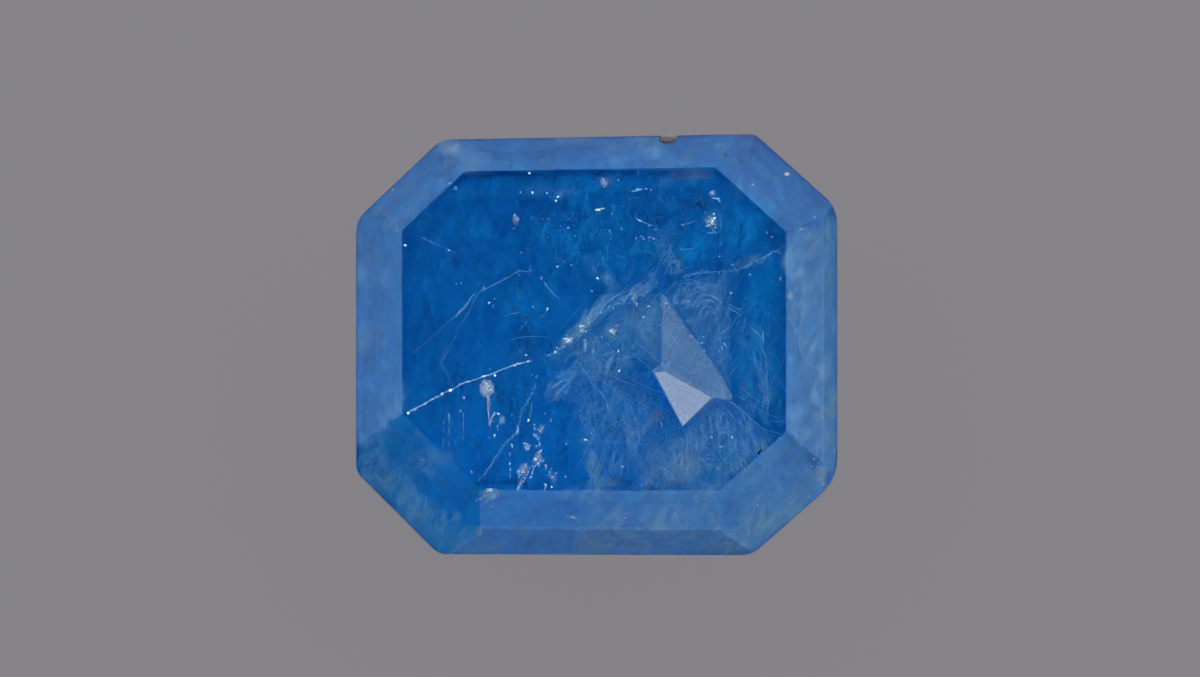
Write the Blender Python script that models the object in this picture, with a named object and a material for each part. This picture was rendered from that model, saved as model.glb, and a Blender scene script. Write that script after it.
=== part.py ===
"""A loose blue sapphire, hand-cut as an octagonal step cut.

Metres, +Z up. The stone lies table up on its flat culet, as it would on a bench. X runs along
its length, +Y is the long side with the narrow crown band, and the origin is the middle of its
outline at the level of the culet. Like a real gem it is ground from a block of rough, one flat
facet at a time. A few corners of its girdle are worn, and one spot keeps the rough's own skin.
"""

import math
from collections import namedtuple

import bmesh
import bpy
from mathutils import Matrix, Vector

# Heights above the culet, in millimetres
TABLE_HEIGHT = 5.25
GIRDLE_LOWER_EDGE = 3.92
UPPER_STEP_HEIGHT = 2.34
CULET_HEIGHT = 0.0

# Each side of the octagon. Azimuth turns from +X towards +Y, and a reach is how far the side's
# line lies from the stone's axis, in millimetres. The slope is the crown facet's, from level.
Side = namedtuple("Side", "name azimuth girdle_reach table_reach crown_slope")
SIDES = (
    Side("right", 0.0, 5.00, 3.92, 36.0),
    Side("back_right", 48.0, 5.45, 4.37, 37.0),
    Side("back", 91.0, 4.31, 3.63, 44.0),
    Side("back_left", 133.5, 5.31, 4.49, 40.0),
    Side("left", 180.0, 5.00, 4.03, 37.0),
    Side("front_left", 225.0, 5.41, 3.86, 32.0),
    Side("front", 269.8, 4.37, 3.02, 23.0),
    Side("front_right", 311.4, 5.414, 3.95, 29.5),
)

# The pavilion below each side has three facets. These are the reaches at which the upper one and
# the middle one end, the height at which the middle one ends, and the reach of the culet.
Pavilion = namedtuple("Pavilion", "upper_reach inner_reach inner_height culet_reach")
PAVILION = {
    "right": Pavilion(4.02, 2.77, 1.03, 1.36),
    "back_right": Pavilion(4.39, 3.03, 0.98, 1.62),
    "back": Pavilion(3.42, 2.30, 1.03, 1.03),
    "back_left": Pavilion(4.29, 3.00, 0.98, 1.60),
    "left": Pavilion(4.02, 2.76, 1.03, 1.36),
    "front_left": Pavilion(4.27, 2.83, 0.95, 1.20),
    "front": Pavilion(3.34, 1.985, 1.03, 0.55),
    "front_right": Pavilion(4.28, 2.445, 0.82, 1.18),
}

# Where the crown has a second, steeper step below the first: its width in plan and its slope
OUTER_CROWN = {"right": (0.29, 50.0), "front": (0.54, 45.0)}

# Radius in plan of the rounded corner that follows each side, in millimetres
CORNER_RADIUS = {
    "right": 0.75,
    "back_right": 0.30,
    "back": 0.60,
    "back_left": 0.60,
    "left": 0.40,
    "front_left": 0.45,
    "front": 0.60,
    "front_right": 0.95,
}
CORNER_FACETS = 4

# Small flats worn into the corners of the girdle: azimuth and slope in degrees, and how deep each
# one bites, in millimetres, below the corner that stands out furthest that way
Flat = namedtuple("Flat", "azimuth slope depth")
WORN_FLATS = (
    Flat(112.0, 62.0, 0.10),
    Flat(78.0, 66.0, 0.09),
    Flat(202.0, 116.0, 0.10),
    Flat(334.0, 60.0, 0.10),
)

# A shallow hollow of the rough's own skin, left on the edge of the girdle at the back. The lump
# of missing stone is centred just off the edge and turned about X.
SKIN_HOLLOW_X = 1.51
SKIN_HOLLOW_RADII = (0.21, 0.11, 0.13)
SKIN_HOLLOW_OFFSET = Vector((0.0, 0.02, 0.03))
SKIN_HOLLOW_TURN = math.radians(25.0)

ROUGH_HALF_WIDTH = 8.0
MM = 0.001


def outward(azimuth, slope):
    """Unit normal of a facet that faces the azimuth and is tilted from level by the slope."""
    turn = math.radians(azimuth)
    tilt = math.radians(slope)
    return Vector((math.cos(turn) * math.sin(tilt), math.sin(turn) * math.sin(tilt), math.cos(tilt)))


def at_reach(azimuth, reach, height):
    """The point straight out from the axis at this azimuth, reach and height."""
    turn = math.radians(azimuth)
    return Vector((math.cos(turn) * reach, math.sin(turn) * reach, height))


def block_of_rough():
    """A block large enough to hold the finished stone."""
    rough = bmesh.new()
    bmesh.ops.create_cube(rough, size=2 * ROUGH_HALF_WIDTH)
    return rough


def grind(stone, point, normal):
    """Grinds one flat facet: everything outside the plane goes, and the cut is closed."""
    geometry = [*stone.verts, *stone.edges, *stone.faces]
    cut = bmesh.ops.bisect_plane(
        stone, geom=geometry, dist=1e-5, plane_co=point, plane_no=normal, clear_outer=True
    )
    rim = [item for item in cut["geom_cut"] if isinstance(item, bmesh.types.BMEdge)]
    if rim:
        bmesh.ops.edgeloop_fill(stone, edges=rim)


def grind_table_and_culet(stone):
    """The large flat on top and the small flat that the stone rests on."""
    grind(stone, Vector((0, 0, TABLE_HEIGHT)), Vector((0, 0, 1)))
    grind(stone, Vector((0, 0, CULET_HEIGHT)), Vector((0, 0, -1)))


def grind_crown(stone, side):
    """The facet between the table and the girdle, in two steps on the sides that have them."""
    rim = at_reach(side.azimuth, side.table_reach, TABLE_HEIGHT)
    grind(stone, rim, outward(side.azimuth, side.crown_slope))
    if side.name in OUTER_CROWN:
        width, slope = OUTER_CROWN[side.name]
        step_reach = side.girdle_reach - width
        fall = (step_reach - side.table_reach) * math.tan(math.radians(side.crown_slope))
        grind(stone, at_reach(side.azimuth, step_reach, TABLE_HEIGHT - fall), outward(side.azimuth, slope))


def grind_pavilion(stone, side):
    """Three facets below the girdle, each flatter than the last, down to the culet."""
    steps = PAVILION[side.name]
    edges = (
        (side.girdle_reach, GIRDLE_LOWER_EDGE),
        (steps.upper_reach, UPPER_STEP_HEIGHT),
        (steps.inner_reach, steps.inner_height),
        (steps.culet_reach, CULET_HEIGHT),
    )
    for (reach, height), (next_reach, next_height) in zip(edges, edges[1:]):
        slope = math.degrees(math.atan2(height - next_height, reach - next_reach))
        grind(stone, at_reach(side.azimuth, reach, height), outward(side.azimuth, 180.0 - slope))


def grind_corner(stone, side, following):
    """Rounds the upright corner between a side and the one after it with narrow facets."""
    radius = CORNER_RADIUS[side.name]
    swing = (following.azimuth - side.azimuth) % 360.0
    first, second = outward(side.azimuth, 90.0), outward(following.azimuth, 90.0)
    # The rounding's centre lies one radius inside both sides
    lines = Matrix((first.to_2d(), second.to_2d()))
    inner = Vector((side.girdle_reach - radius, following.girdle_reach - radius))
    centre = (lines.inverted() @ inner).to_3d()
    for number in range(1, CORNER_FACETS + 1):
        facing = outward(side.azimuth + swing * number / (CORNER_FACETS + 1), 90.0)
        grind(stone, centre + facing * radius, facing)


def grind_worn_flat(stone, flat):
    """A small flat worn into the corner of the girdle that stands out furthest its way."""
    normal = outward(flat.azimuth, flat.slope)
    reach = max(normal.dot(v.co) for v in stone.verts)
    grind(stone, normal * (reach - flat.depth), normal)


def skin_hollow():
    """The lump of missing stone on the back edge, where the crown meets the girdle."""
    back = next(side for side in SIDES if side.name == "back")
    fall = (back.girdle_reach - back.table_reach) * math.tan(math.radians(back.crown_slope))
    edge = at_reach(back.azimuth, back.girdle_reach, TABLE_HEIGHT - fall)
    turn = math.radians(90.0 - back.azimuth)
    # From the point straight out from the axis, sideways along the edge
    edge += Vector((math.cos(turn), -math.sin(turn), 0.0)) * (SKIN_HOLLOW_X - edge.x)
    lump = bmesh.new()
    bmesh.ops.create_uvsphere(lump, u_segments=9, v_segments=6, radius=1.0)
    bmesh.ops.scale(lump, vec=SKIN_HOLLOW_RADII, verts=lump.verts)
    bmesh.ops.rotate(lump, matrix=Matrix.Rotation(SKIN_HOLLOW_TURN, 3, "X"), verts=lump.verts)
    bmesh.ops.translate(lump, vec=edge + SKIN_HOLLOW_OFFSET, verts=lump.verts)
    return lump


def finished_object(shape, name):
    """An object that holds the shape as its mesh."""
    mesh = bpy.data.meshes.new(name)
    shape.to_mesh(mesh)
    shape.free()
    finished = bpy.data.objects.new(name, mesh)
    bpy.context.scene.collection.objects.link(finished)
    return finished


def take_away(body, tool):
    """Removes the tool's volume from the body, and then the tool."""
    cut = body.modifiers.new("cut", "BOOLEAN")
    cut.operation = "DIFFERENCE"
    cut.solver = "EXACT"
    cut.object = tool
    bpy.context.view_layer.update()
    graph = bpy.context.evaluated_depsgraph_get()
    body.data = bpy.data.meshes.new_from_object(body.evaluated_get(graph))
    body.modifiers.clear()
    bpy.data.objects.remove(tool)


def to_metres_on_origin(body):
    """Sets the middle of the outline over the origin and the culet on the ground, in metres."""
    corners = [v.co for v in body.data.vertices]
    lowest = Vector(min(co[axis] for co in corners) for axis in range(3))
    highest = Vector(max(co[axis] for co in corners) for axis in range(3))
    middle = (lowest + highest) / 2
    centred = Matrix.Translation((-middle.x, -middle.y, -lowest.z))
    body.data.transform(Matrix.Scale(MM, 4) @ centred)


def sapphire_material():
    """Clear, deep blue corundum with a polished surface."""
    material = bpy.data.materials.new("blue_corundum")
    material.use_nodes = True
    shader = material.node_tree.nodes["Principled BSDF"]
    shader.inputs["Base Color"].default_value = (0.015, 0.16, 0.50, 1.0)
    shader.inputs["Metallic"].default_value = 0.0
    shader.inputs["Roughness"].default_value = 0.05
    shader.inputs["IOR"].default_value = 1.77
    shader.inputs["Transmission Weight"].default_value = 1.0
    return material


def cut_sapphire():
    """The finished stone as one object in metres."""
    stone = block_of_rough()
    for place, side in enumerate(SIDES):
        grind(stone, at_reach(side.azimuth, side.girdle_reach, 0), outward(side.azimuth, 90.0))
        grind_corner(stone, side, SIDES[(place + 1) % len(SIDES)])
    grind_table_and_culet(stone)
    for side in SIDES:
        grind_crown(stone, side)
        grind_pavilion(stone, side)
    for flat in WORN_FLATS:
        grind_worn_flat(stone, flat)
    sapphire = finished_object(stone, "sapphire")
    hollow = finished_object(skin_hollow(), "skin_hollow")
    take_away(sapphire, hollow)
    to_metres_on_origin(sapphire)
    sapphire.data.materials.append(sapphire_material())
    return sapphire


for old in list(bpy.data.objects):
    bpy.data.objects.remove(old)
cut_sapphire()
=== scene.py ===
"""Looks for the loose blue sapphire: the polished stone and everything that lies inside it.

The stone's shape is the CAD model's. What the photograph shows inside it, such as fractures,
veils, silk, crystals and stains, is placed by the pixel that shows it and by its depth along the
sight line, which is followed through the facet where it enters the stone.
"""

import math
import random

import bmesh
import bpy
from mathutils import Matrix, Vector, noise
from mathutils.bvhtree import BVHTree
from mathutils.geometry import intersect_point_line


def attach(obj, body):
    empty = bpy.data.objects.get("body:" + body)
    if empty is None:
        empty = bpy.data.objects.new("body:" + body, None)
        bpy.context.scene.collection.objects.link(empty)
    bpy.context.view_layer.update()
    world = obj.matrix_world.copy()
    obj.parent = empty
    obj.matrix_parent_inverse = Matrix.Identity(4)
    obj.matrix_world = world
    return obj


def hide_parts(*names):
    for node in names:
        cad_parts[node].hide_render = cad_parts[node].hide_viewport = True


MM = 0.001
RNG = random.Random(11)

# The photograph's scale and the pixel that shows the stone's middle
MM_PER_PIXEL = 10.0 / 481.0
MIDDLE_X = 596.75
MIDDLE_Y = 344.75
FRAME_WIDTH = 1200
FRAME_HEIGHT = 677

# The camera, in millimetres: how far above the girdle it stands, and the girdle's height
CAMERA_DISTANCE = 250.0
GIRDLE_HEIGHT = 4.3

# Corundum
IOR = 1.77
ABSORPTION = (0.80, 0.94, 0.99, 1.0)
ABSORPTION_DENSITY = 400.0
MILKY_CLARITY = 0.05

# Over what distance the rows of wisps sway once, in millimetres
BEND_SIZE = 1.6

# Brightness of the tent against the sine of the height it is seen at
FRONT_STOPS = [(0.0, 0.62), (0.33, 0.62), (0.44, 0.38), (0.88, 0.38), (0.975, 0.02), (1.0, 0.01)]
BACK_STOPS = [(0.0, 0.48), (0.34, 0.48), (0.46, 5.0), (0.80, 5.0), (0.975, 0.02), (1.0, 0.01)]

# A dark card low in front on the left: its direction, its soft edge as cosines, and its brightness
LIGHT_TINT = (0.97, 1.0, 1.10)
CARD = (-0.636, -0.636, 0.438)
CARD_EDGE = (0.86, 0.96)
CARD_LEVEL = 0.03

# The floor's own tone, and its glow
FLOOR_TONE = (0.008, 0.0078, 0.0083, 1.0)
FLOOR_GLOW = (0.222, 0.2155, 0.232, 1.0)

# Wear along the facet edges, in millimetres, and the least angle, length and facet area that it takes
EDGE_WEAR = 0.008
LEAST_WORN_ANGLE = math.radians(8.0)
LEAST_WORN_LENGTH = 0.05
LEAST_WORN_AREA = 0.03

# The lower edge of the girdle, and the patch of the rough's own skin on its back edge
GIRDLE_LOWER_EDGE = 3.92
SKIN_PATCH = Vector((1.475, 4.3, 4.6))
SKIN_PATCH_REACH = 0.28
SKIN_MIDDLE = Vector((1.46, 4.235, 4.655))
SKIN_RADII = (0.19, 0.088, 0.12)

# How near a surface an inclusion may lie, in millimetres
LEAST_DEPTH = 0.012

# The least radius of a fibre, in millimetres
THINNEST = 0.0009

# How far a veil may start beyond the stone's outline: this share of the way to the middle
RIM_PULL = 0.012

# An icosahedron, from which the crystals are made
GOLDEN = (1.0 + math.sqrt(5.0)) / 2.0
ICO_CORNERS = [
    Vector(corner).normalized()
    for a in (-1.0, 1.0)
    for b in (-GOLDEN, GOLDEN)
    for corner in ((0.0, a, b), (a, b, 0.0), (b, 0.0, a))
]


def icosahedron_faces():
    """The twenty faces, each with its corners counterclockwise from outside."""
    faces = []
    for a in range(12):
        for b in range(a + 1, 12):
            for c in range(b + 1, 12):
                first, second, third = (ICO_CORNERS[i] for i in (a, b, c))
                if max((first - second).length, (second - third).length, (third - first).length) < 1.1:
                    outward = (second - first).cross(third - first).dot(first) > 0.0
                    faces.append((a, b, c) if outward else (a, c, b))
    return faces


ICO_FACES = icosahedron_faces()

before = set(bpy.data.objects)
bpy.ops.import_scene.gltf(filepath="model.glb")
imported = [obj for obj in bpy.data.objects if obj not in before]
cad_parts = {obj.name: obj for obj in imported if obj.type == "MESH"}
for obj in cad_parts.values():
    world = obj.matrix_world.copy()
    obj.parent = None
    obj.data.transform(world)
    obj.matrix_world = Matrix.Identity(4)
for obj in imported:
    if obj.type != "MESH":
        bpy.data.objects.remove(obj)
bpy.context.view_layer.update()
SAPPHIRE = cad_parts["sapphire"]


def plan(x, y):
    """Place in plan, in millimetres, of a pixel of the photograph."""
    return (x - MIDDLE_X) * MM_PER_PIXEL, (MIDDLE_Y - y) * MM_PER_PIXEL


EYE = Vector((*plan(FRAME_WIDTH / 2, FRAME_HEIGHT / 2), GIRDLE_HEIGHT + CAMERA_DISTANCE))


# Materials


def principled(name, **sockets):
    """A material with one Principled shader and these values on its own sockets."""
    material = bpy.data.materials.new(name)
    material.use_nodes = True
    shader = material.node_tree.nodes["Principled BSDF"]
    for socket, value in sockets.items():
        shader.inputs[socket.replace("_", " ")].default_value = value
    return material, material.node_tree, shader


def noise_field(tree, size, stretch=(1.0, 1.0, 1.0), detail=4.0, roughness=0.55, heading=0.0, sway=0.0, web=0.0):
    """Noise in the stone's own coordinates, with patches of about this size in millimetres.

    The patches are stretched along the heading, across it and upwards by these factors, and their
    rows sway to and fro by about this many millimetres. With a web gain they are fine threads.
    """
    place = tree.nodes.new("ShaderNodeTexCoord").outputs["Object"]
    if sway:
        bends = tree.nodes.new("ShaderNodeTexNoise")
        bends.inputs["Scale"].default_value = 1.0 / (BEND_SIZE * MM)
        bends.inputs["Detail"].default_value = 1.0
        swayed = tree.nodes.new("ShaderNodeVectorMath")
        swayed.operation = "MULTIPLY_ADD"
        swayed.inputs[1].default_value = (2.0 * sway * MM,) * 3
        tree.links.new(place, bends.inputs["Vector"])
        tree.links.new(bends.outputs["Color"], swayed.inputs[0])
        tree.links.new(place, swayed.inputs[2])
        place = swayed.outputs["Vector"]
    scale = tree.nodes.new("ShaderNodeMapping")
    scale.vector_type = "TEXTURE"
    scale.inputs["Scale"].default_value = [size * MM * part for part in stretch]
    scale.inputs["Rotation"].default_value = (0.0, 0.0, math.radians(heading))
    field = tree.nodes.new("ShaderNodeTexNoise")
    field.inputs["Scale"].default_value = 1.0
    field.inputs["Detail"].default_value = detail
    field.inputs["Roughness"].default_value = roughness
    if web:
        field.noise_type = "RIDGED_MULTIFRACTAL"
        field.inputs["Offset"].default_value = 1.0
        field.inputs["Gain"].default_value = web
    tree.links.new(place, scale.inputs["Vector"])
    tree.links.new(scale.outputs["Vector"], field.inputs["Vector"])
    return field.outputs["Fac"]


def levels(tree, value, low, high, to_low=0.0, to_high=1.0):
    """Stretches a value from one range to another, smoothly and within its ends."""
    node = tree.nodes.new("ShaderNodeMapRange")
    node.interpolation_type = "SMOOTHSTEP"
    for socket, number in (("From Min", low), ("From Max", high), ("To Min", to_low), ("To Max", to_high)):
        node.inputs[socket].default_value = number
    tree.links.new(value, node.inputs["Value"])
    return node.outputs["Result"]


def blend_colours(tree, factor, first, second):
    """A mix of two colours, or of a colour and another node's output."""
    node = tree.nodes.new("ShaderNodeMix")
    node.data_type = "RGBA"
    tree.links.new(factor, node.inputs["Factor"])
    for socket, colour in (("A", first), ("B", second)):
        if isinstance(colour, tuple):
            node.inputs[socket].default_value = (*colour, 1.0)
        else:
            tree.links.new(colour, node.inputs[socket])
    return node.outputs["Result"]


def product(tree, first, second):
    """Two values multiplied."""
    node = tree.nodes.new("ShaderNodeMath")
    node.operation = "MULTIPLY"
    tree.links.new(first, node.inputs[0])
    tree.links.new(second, node.inputs[1])
    return node.outputs["Value"]


def add_absorption(tree):
    """The blue that light takes on along its way through the stone."""
    absorption = tree.nodes.new("ShaderNodeVolumeAbsorption")
    absorption.inputs["Color"].default_value = ABSORPTION
    absorption.inputs["Density"].default_value = ABSORPTION_DENSITY
    tree.links.new(absorption.outputs["Volume"], tree.nodes["Material Output"].inputs["Volume"])


def polished_corundum():
    """Crown and table: clear, with a polish that is a little uneven."""
    material, tree, shader = principled(
        "polished_corundum", Base_Color=(0.9, 0.97, 1.0, 1.0), IOR=IOR, Transmission_Weight=1.0
    )
    wear = levels(tree, noise_field(tree, 0.6, detail=6.0), 0.35, 0.75, 0.012, 0.035)
    tree.links.new(wear, shader.inputs["Roughness"])
    add_absorption(tree)
    return material


def milky_corundum(name, darkest, deep, milky):
    """Pavilion: its surface and the silk behind it send back much of the light, in patches."""
    material, tree, shader = principled(
        name, Roughness=0.25, IOR=IOR, Transmission_Weight=MILKY_CLARITY, Specular_Tint=(0.02, 0.5, 1.0, 1.0)
    )
    clouds = noise_field(tree, 0.8, (1.5, 1.0, 1.2), 5.0, 0.6, 75.0)
    wisps = noise_field(tree, 0.22, (2.4, 1.0, 1.3), 6.0, 0.6, 84.0)
    base = blend_colours(tree, levels(tree, clouds, 0.34, 0.66), darkest, deep)
    mottled = blend_colours(tree, levels(tree, wisps, 0.40, 0.76, 0.0, 0.7), base, milky)
    tree.links.new(mottled, shader.inputs["Base Color"])
    add_absorption(tree)
    return material


def frosted_corundum(name, low, high, size, roughness=0.5, clarity=0.0):
    """A ground or frosted surface, speckled between two tones; on the window facet its pale tones are painted light."""
    material, tree, shader = principled(name, Roughness=roughness, IOR=IOR, Transmission_Weight=clarity)
    speckle = levels(tree, noise_field(tree, size, detail=8.0, roughness=0.7), 0.35, 0.65)
    tree.links.new(blend_colours(tree, speckle, low, high), shader.inputs["Base Color"])
    add_absorption(tree)
    return material


def grain_material(name, tone, roughness=0.25, shine=0.0):
    """An inclusion's own surface, uneven in tone like a crystal with films on it."""
    material, tree, shader = principled(name, Roughness=roughness, IOR=1.6, Specular_IOR_Level=0.2, Metallic=shine)
    uneven = levels(tree, noise_field(tree, 0.04, detail=3.0), 0.35, 0.65)
    duller = tuple(0.72 * part for part in tone)
    tree.links.new(blend_colours(tree, uneven, duller, tone), shader.inputs["Base Color"])
    return material


def veil_material(name, tone, size, cover, stretch=1.0, heading=0.0, patch=0.6, thin=0.25, web=0.0):
    """A see-through veil: fine wisps, from the first cover to the second, thinner between patches."""
    material, tree, shader = principled(name, Roughness=0.6, IOR=1.4, Specular_IOR_Level=0.1)
    wisps = noise_field(tree, size, (stretch, 1.0, 1.0), 6.0, 0.62, heading, 0.35, web)
    clouds = noise_field(tree, patch, (1.5, 1.0, 1.0), 4.0, 0.6, heading)
    span = (0.9, 2.2) if web else (0.35, 0.70)
    duller = tuple(0.8 * part for part in tone)
    tree.links.new(blend_colours(tree, levels(tree, wisps, *span), duller, tone), shader.inputs["Base Color"])
    fade = tree.nodes.new("ShaderNodeAttribute")
    fade.attribute_name = "fade"
    fine = levels(tree, wisps, *span, *cover)
    patchy = product(tree, fine, levels(tree, clouds, 0.32, 0.62, thin, 1.0))
    tree.links.new(product(tree, patchy, fade.outputs["Fac"]), shader.inputs["Alpha"])
    return material


# The stone


def worn_mesh():
    """The CAD stone's mesh with its facets as single faces and its facet edges slightly worn."""
    shape = bmesh.new()
    shape.from_mesh(SAPPHIRE.data)
    bmesh.ops.remove_doubles(shape, verts=shape.verts, dist=1e-7)
    bmesh.ops.dissolve_limit(
        shape, angle_limit=math.radians(0.4), verts=shape.verts, edges=shape.edges
    )
    worn = [
        edge
        for edge in shape.edges
        if edge.calc_face_angle(0.0) > LEAST_WORN_ANGLE
        and edge.calc_length() > LEAST_WORN_LENGTH * MM
        and max(face.normal.z for face in edge.link_faces) < 0.999
        and all(face.calc_area() > LEAST_WORN_AREA * MM**2 for face in edge.link_faces)
    ]
    bmesh.ops.bevel(
        shape, geom=worn, offset=EDGE_WEAR * MM, offset_type="OFFSET", segments=1, profile=0.5, affect="EDGES"
    )
    mesh = bpy.data.meshes.new("cut_sapphire")
    shape.to_mesh(mesh)
    shape.free()
    return mesh


def facet_kind(face):
    """Which of the stone's finishes a face of it has; the low front-facing pavilion facets get brighter copies of the
    milky finish, which is painted light.
    """
    middle = face.center / MM
    if (middle - SKIN_PATCH).length < SKIN_PATCH_REACH and face.area < 0.02 * MM**2:
        return "skin"
    if abs(face.normal.z) < 0.05 and middle.z > GIRDLE_LOWER_EDGE:
        return "girdle"
    if face.normal.z > 0.0:
        return "polished"
    if face.normal.y < -0.4 and middle.z < 3.0:
        return "front" if face.normal.y < -0.52 else "corner"
    return "milky"


def polished_stone():
    """The stone itself, with a finish for each kind of facet."""
    mesh = worn_mesh()
    stone = bpy.data.objects.new("cut_sapphire", mesh)
    bpy.context.scene.collection.objects.link(stone)
    finishes = {
        "polished": polished_corundum(),
        "milky": milky_corundum("milky_corundum", (0.001, 0.22, 0.57), (0.002, 0.35, 0.72), (0.004, 0.46, 0.85)),
        # The corner and front finishes are the milky finish made brighter for the low front facets: painted light
        "corner": milky_corundum("milky_corner_painted_light", (0.001, 0.24, 0.68), (0.002, 0.37, 0.85), (0.004, 0.48, 0.96)),
        "front": milky_corundum("milky_front_painted_light", (0.001, 0.23, 0.65), (0.002, 0.36, 0.79), (0.004, 0.47, 0.91)),
        "girdle": frosted_corundum("ground_girdle", (0.03, 0.26, 0.60), (0.10, 0.42, 0.80), 0.10, 0.45, 0.3),
        "skin": frosted_corundum("rough_skin", (0.04, 0.03, 0.035), (0.11, 0.075, 0.08), 0.05, 0.7),
        # The window finish's pale tones are painted light, standing in for the light that shows through that facet
        "window": frosted_corundum("window_painted_light", (0.68, 0.64, 0.94), (0.89, 0.83, 1.0), 0.04, 0.6),
    }
    for finish in finishes.values():
        mesh.materials.append(finish)
    kinds = list(finishes)
    for face in mesh.polygons:
        face.material_index = kinds.index(facet_kind(face))
    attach(stone, "root")
    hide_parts("sapphire")
    return stone, kinds


# Places inside the stone


def stone_tree(stone):
    """The stone's faces in millimetres, for following sight lines through them."""
    corners = [vertex.co / MM for vertex in stone.data.vertices]
    return BVHTree.FromPolygons(corners, [list(face.vertices) for face in stone.data.polygons])


def bend(way, normal, ratio):
    """The direction of a ray after it crosses a surface, by Snell's law."""
    facing = -way.dot(normal)
    return ratio * way + (ratio * facing - math.sqrt(1.0 - ratio**2 * (1.0 - facing**2))) * normal


def sight_line(x, y):
    """Where the sight line through a pixel enters the stone, its way on, and how long it stays in."""
    way = (Vector((*plan(x, y), GIRDLE_HEIGHT)) - EYE).normalized()
    entry, normal, _, _ = TREE.ray_cast(EYE, way)
    if entry is None:
        return None, None, 0.0
    inward = bend(way, normal, 1.0 / IOR)
    _, _, _, room = TREE.ray_cast(entry + inward * 0.001, inward)
    return entry, inward, room or 0.0


def facet_behind(x, y):
    """The number of the facet that the sight line through a pixel leaves the stone by."""
    entry, inward, _ = sight_line(x, y)
    return TREE.ray_cast(entry + inward * 0.001, inward)[2]


def inside(x, y, depth):
    """The point that shows at a pixel, this deep along the sight line, or this far before its end.

    A pixel just off the stone is first moved towards its middle.
    """
    entry, inward, room = sight_line(x, y)
    while entry is None:
        x += 0.004 * (MIDDLE_X - x)
        y += 0.004 * (MIDDLE_Y - y)
        entry, inward, room = sight_line(x, y)
    if depth < 0.0:
        depth += room
    return entry + inward * min(max(depth, LEAST_DEPTH), max(room - LEAST_DEPTH, LEAST_DEPTH / 2))


def in_outline(x, y, outline):
    """Whether a pixel lies inside a closed outline of pixels."""
    within = False
    for (x1, y1), (x2, y2) in zip(outline, outline[1:] + outline[:1]):
        if (y1 > y) != (y2 > y) and x < x1 + (y - y1) * (x2 - x1) / (y2 - y1):
            within = not within
    return within


def to_outline(x, y, outline):
    """The nearest place on an outline's sides, and how many pixels away it is."""
    here = Vector((x, y))
    nearest, least = None, math.inf
    for first, second in zip(outline, outline[1:] + outline[:1]):
        foot, part = intersect_point_line(here, Vector(first), Vector(second))
        foot = Vector(first).lerp(Vector(second), min(max(part, 0.0), 1.0))
        if (foot - here).length < least:
            nearest, least = foot, (foot - here).length
    return nearest, least


# Shapes inside the stone


class Piece:
    """Closed shapes gathered in millimetres, which become one object."""

    def __init__(self, name, *materials):
        self.name = name
        self.materials = materials
        self.points = []
        self.faces = []
        self.slots = []
        self.fades = []

    def add(self, points, faces, slot=0, fades=None):
        """Adds a shape whose faces count from its own first point."""
        start = len(self.points)
        self.points.extend(points)
        self.faces.extend(tuple(start + corner for corner in face) for face in faces)
        self.slots.extend([slot] * len(faces))
        self.fades.extend(fades or [1.0] * len(points))

    def finish(self, smooth=False):
        """Makes the object, which rides on the stone's body."""
        mesh = bpy.data.meshes.new(self.name)
        mesh.from_pydata([point * MM for point in self.points], [], self.faces)
        for material in self.materials:
            mesh.materials.append(material)
        mesh.polygons.foreach_set("material_index", self.slots)
        fade = mesh.attributes.new("fade", "FLOAT", "POINT")
        fade.data.foreach_set("value", self.fades)
        if smooth:
            mesh.shade_smooth()
        made = bpy.data.objects.new(self.name, mesh)
        bpy.context.scene.collection.objects.link(made)
        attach(made, "root")
        return made


def add_thread(piece, path, radii, sides=5, slot=0):
    """A closed thread along a path, with a radius at each point and a tip at either end."""
    points = []
    last = len(path) - 1
    for place, (point, radius) in enumerate(zip(path, radii)):
        ahead = (path[min(place + 1, last)] - path[max(place - 1, 0)]).normalized()
        across = ahead.cross(Vector((0.31, 0.17, 1.0))).normalized()
        upward = across.cross(ahead)
        for side in range(sides):
            turn = 2 * math.pi * side / sides
            points.append(point + (across * math.cos(turn) + upward * math.sin(turn)) * radius)
    faces = []
    for place in range(last):
        for side in range(sides):
            following = (side + 1) % sides
            near, far = place * sides, (place + 1) * sides
            faces.append((near + side, far + side, far + following, near + following))
    faces.append(tuple(range(sides)))
    faces.append(tuple(reversed(range(last * sides, (last + 1) * sides))))
    piece.add(points, faces, slot)


def add_grain(piece, centre, radii, turn=0.0, slot=0, tip=0.0):
    """A small angular crystal, each corner of it at its own distance from the middle."""
    spin = Matrix.Rotation(turn, 3, "Z") @ Matrix.Rotation(tip, 3, "X")
    roll = Matrix.Rotation(RNG.uniform(0.0, math.tau), 3, Vector([RNG.gauss(0, 1) for _ in range(3)]))
    points = []
    for corner in ICO_CORNERS:
        turned = roll @ corner * RNG.uniform(0.7, 1.15)
        points.append(centre + spin @ Vector([part * radius for part, radius in zip(turned, radii)]))
    piece.add(points, ICO_FACES, slot)


def add_plate(piece, x, y, depth, width, height, turn=0.0, slot=0):
    """A small flat crystal with six corners, which leans a little towards the light."""
    spin = Matrix.Rotation(math.radians(turn), 3, "Z")
    lean = Matrix.Rotation(math.radians(RNG.gauss(-13.0, 6.0)), 3, "X")
    lean = lean @ Matrix.Rotation(math.radians(RNG.gauss(0.0, 8.0)), 3, "Y")
    thickness = 0.25 * min(width, height) * MM_PER_PIXEL
    centre = inside(x, y, depth)
    points = []
    for level, reach in ((0.0, 1.0), (-thickness, 0.7)):
        for corner in range(6):
            way = math.tau * corner / 6
            size = 0.5 * reach * MM_PER_PIXEL * RNG.uniform(0.75, 1.15)
            flat = spin @ Vector((math.cos(way) * size * width, math.sin(way) * size * height, level))
            points.append(centre + lean @ flat)
    faces = [tuple(range(6)), tuple(reversed(range(6, 12)))]
    for corner in range(6):
        following = (corner + 1) % 6
        faces.append((corner, corner + 6, following + 6, following))
    piece.add(points, faces, slot)


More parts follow.
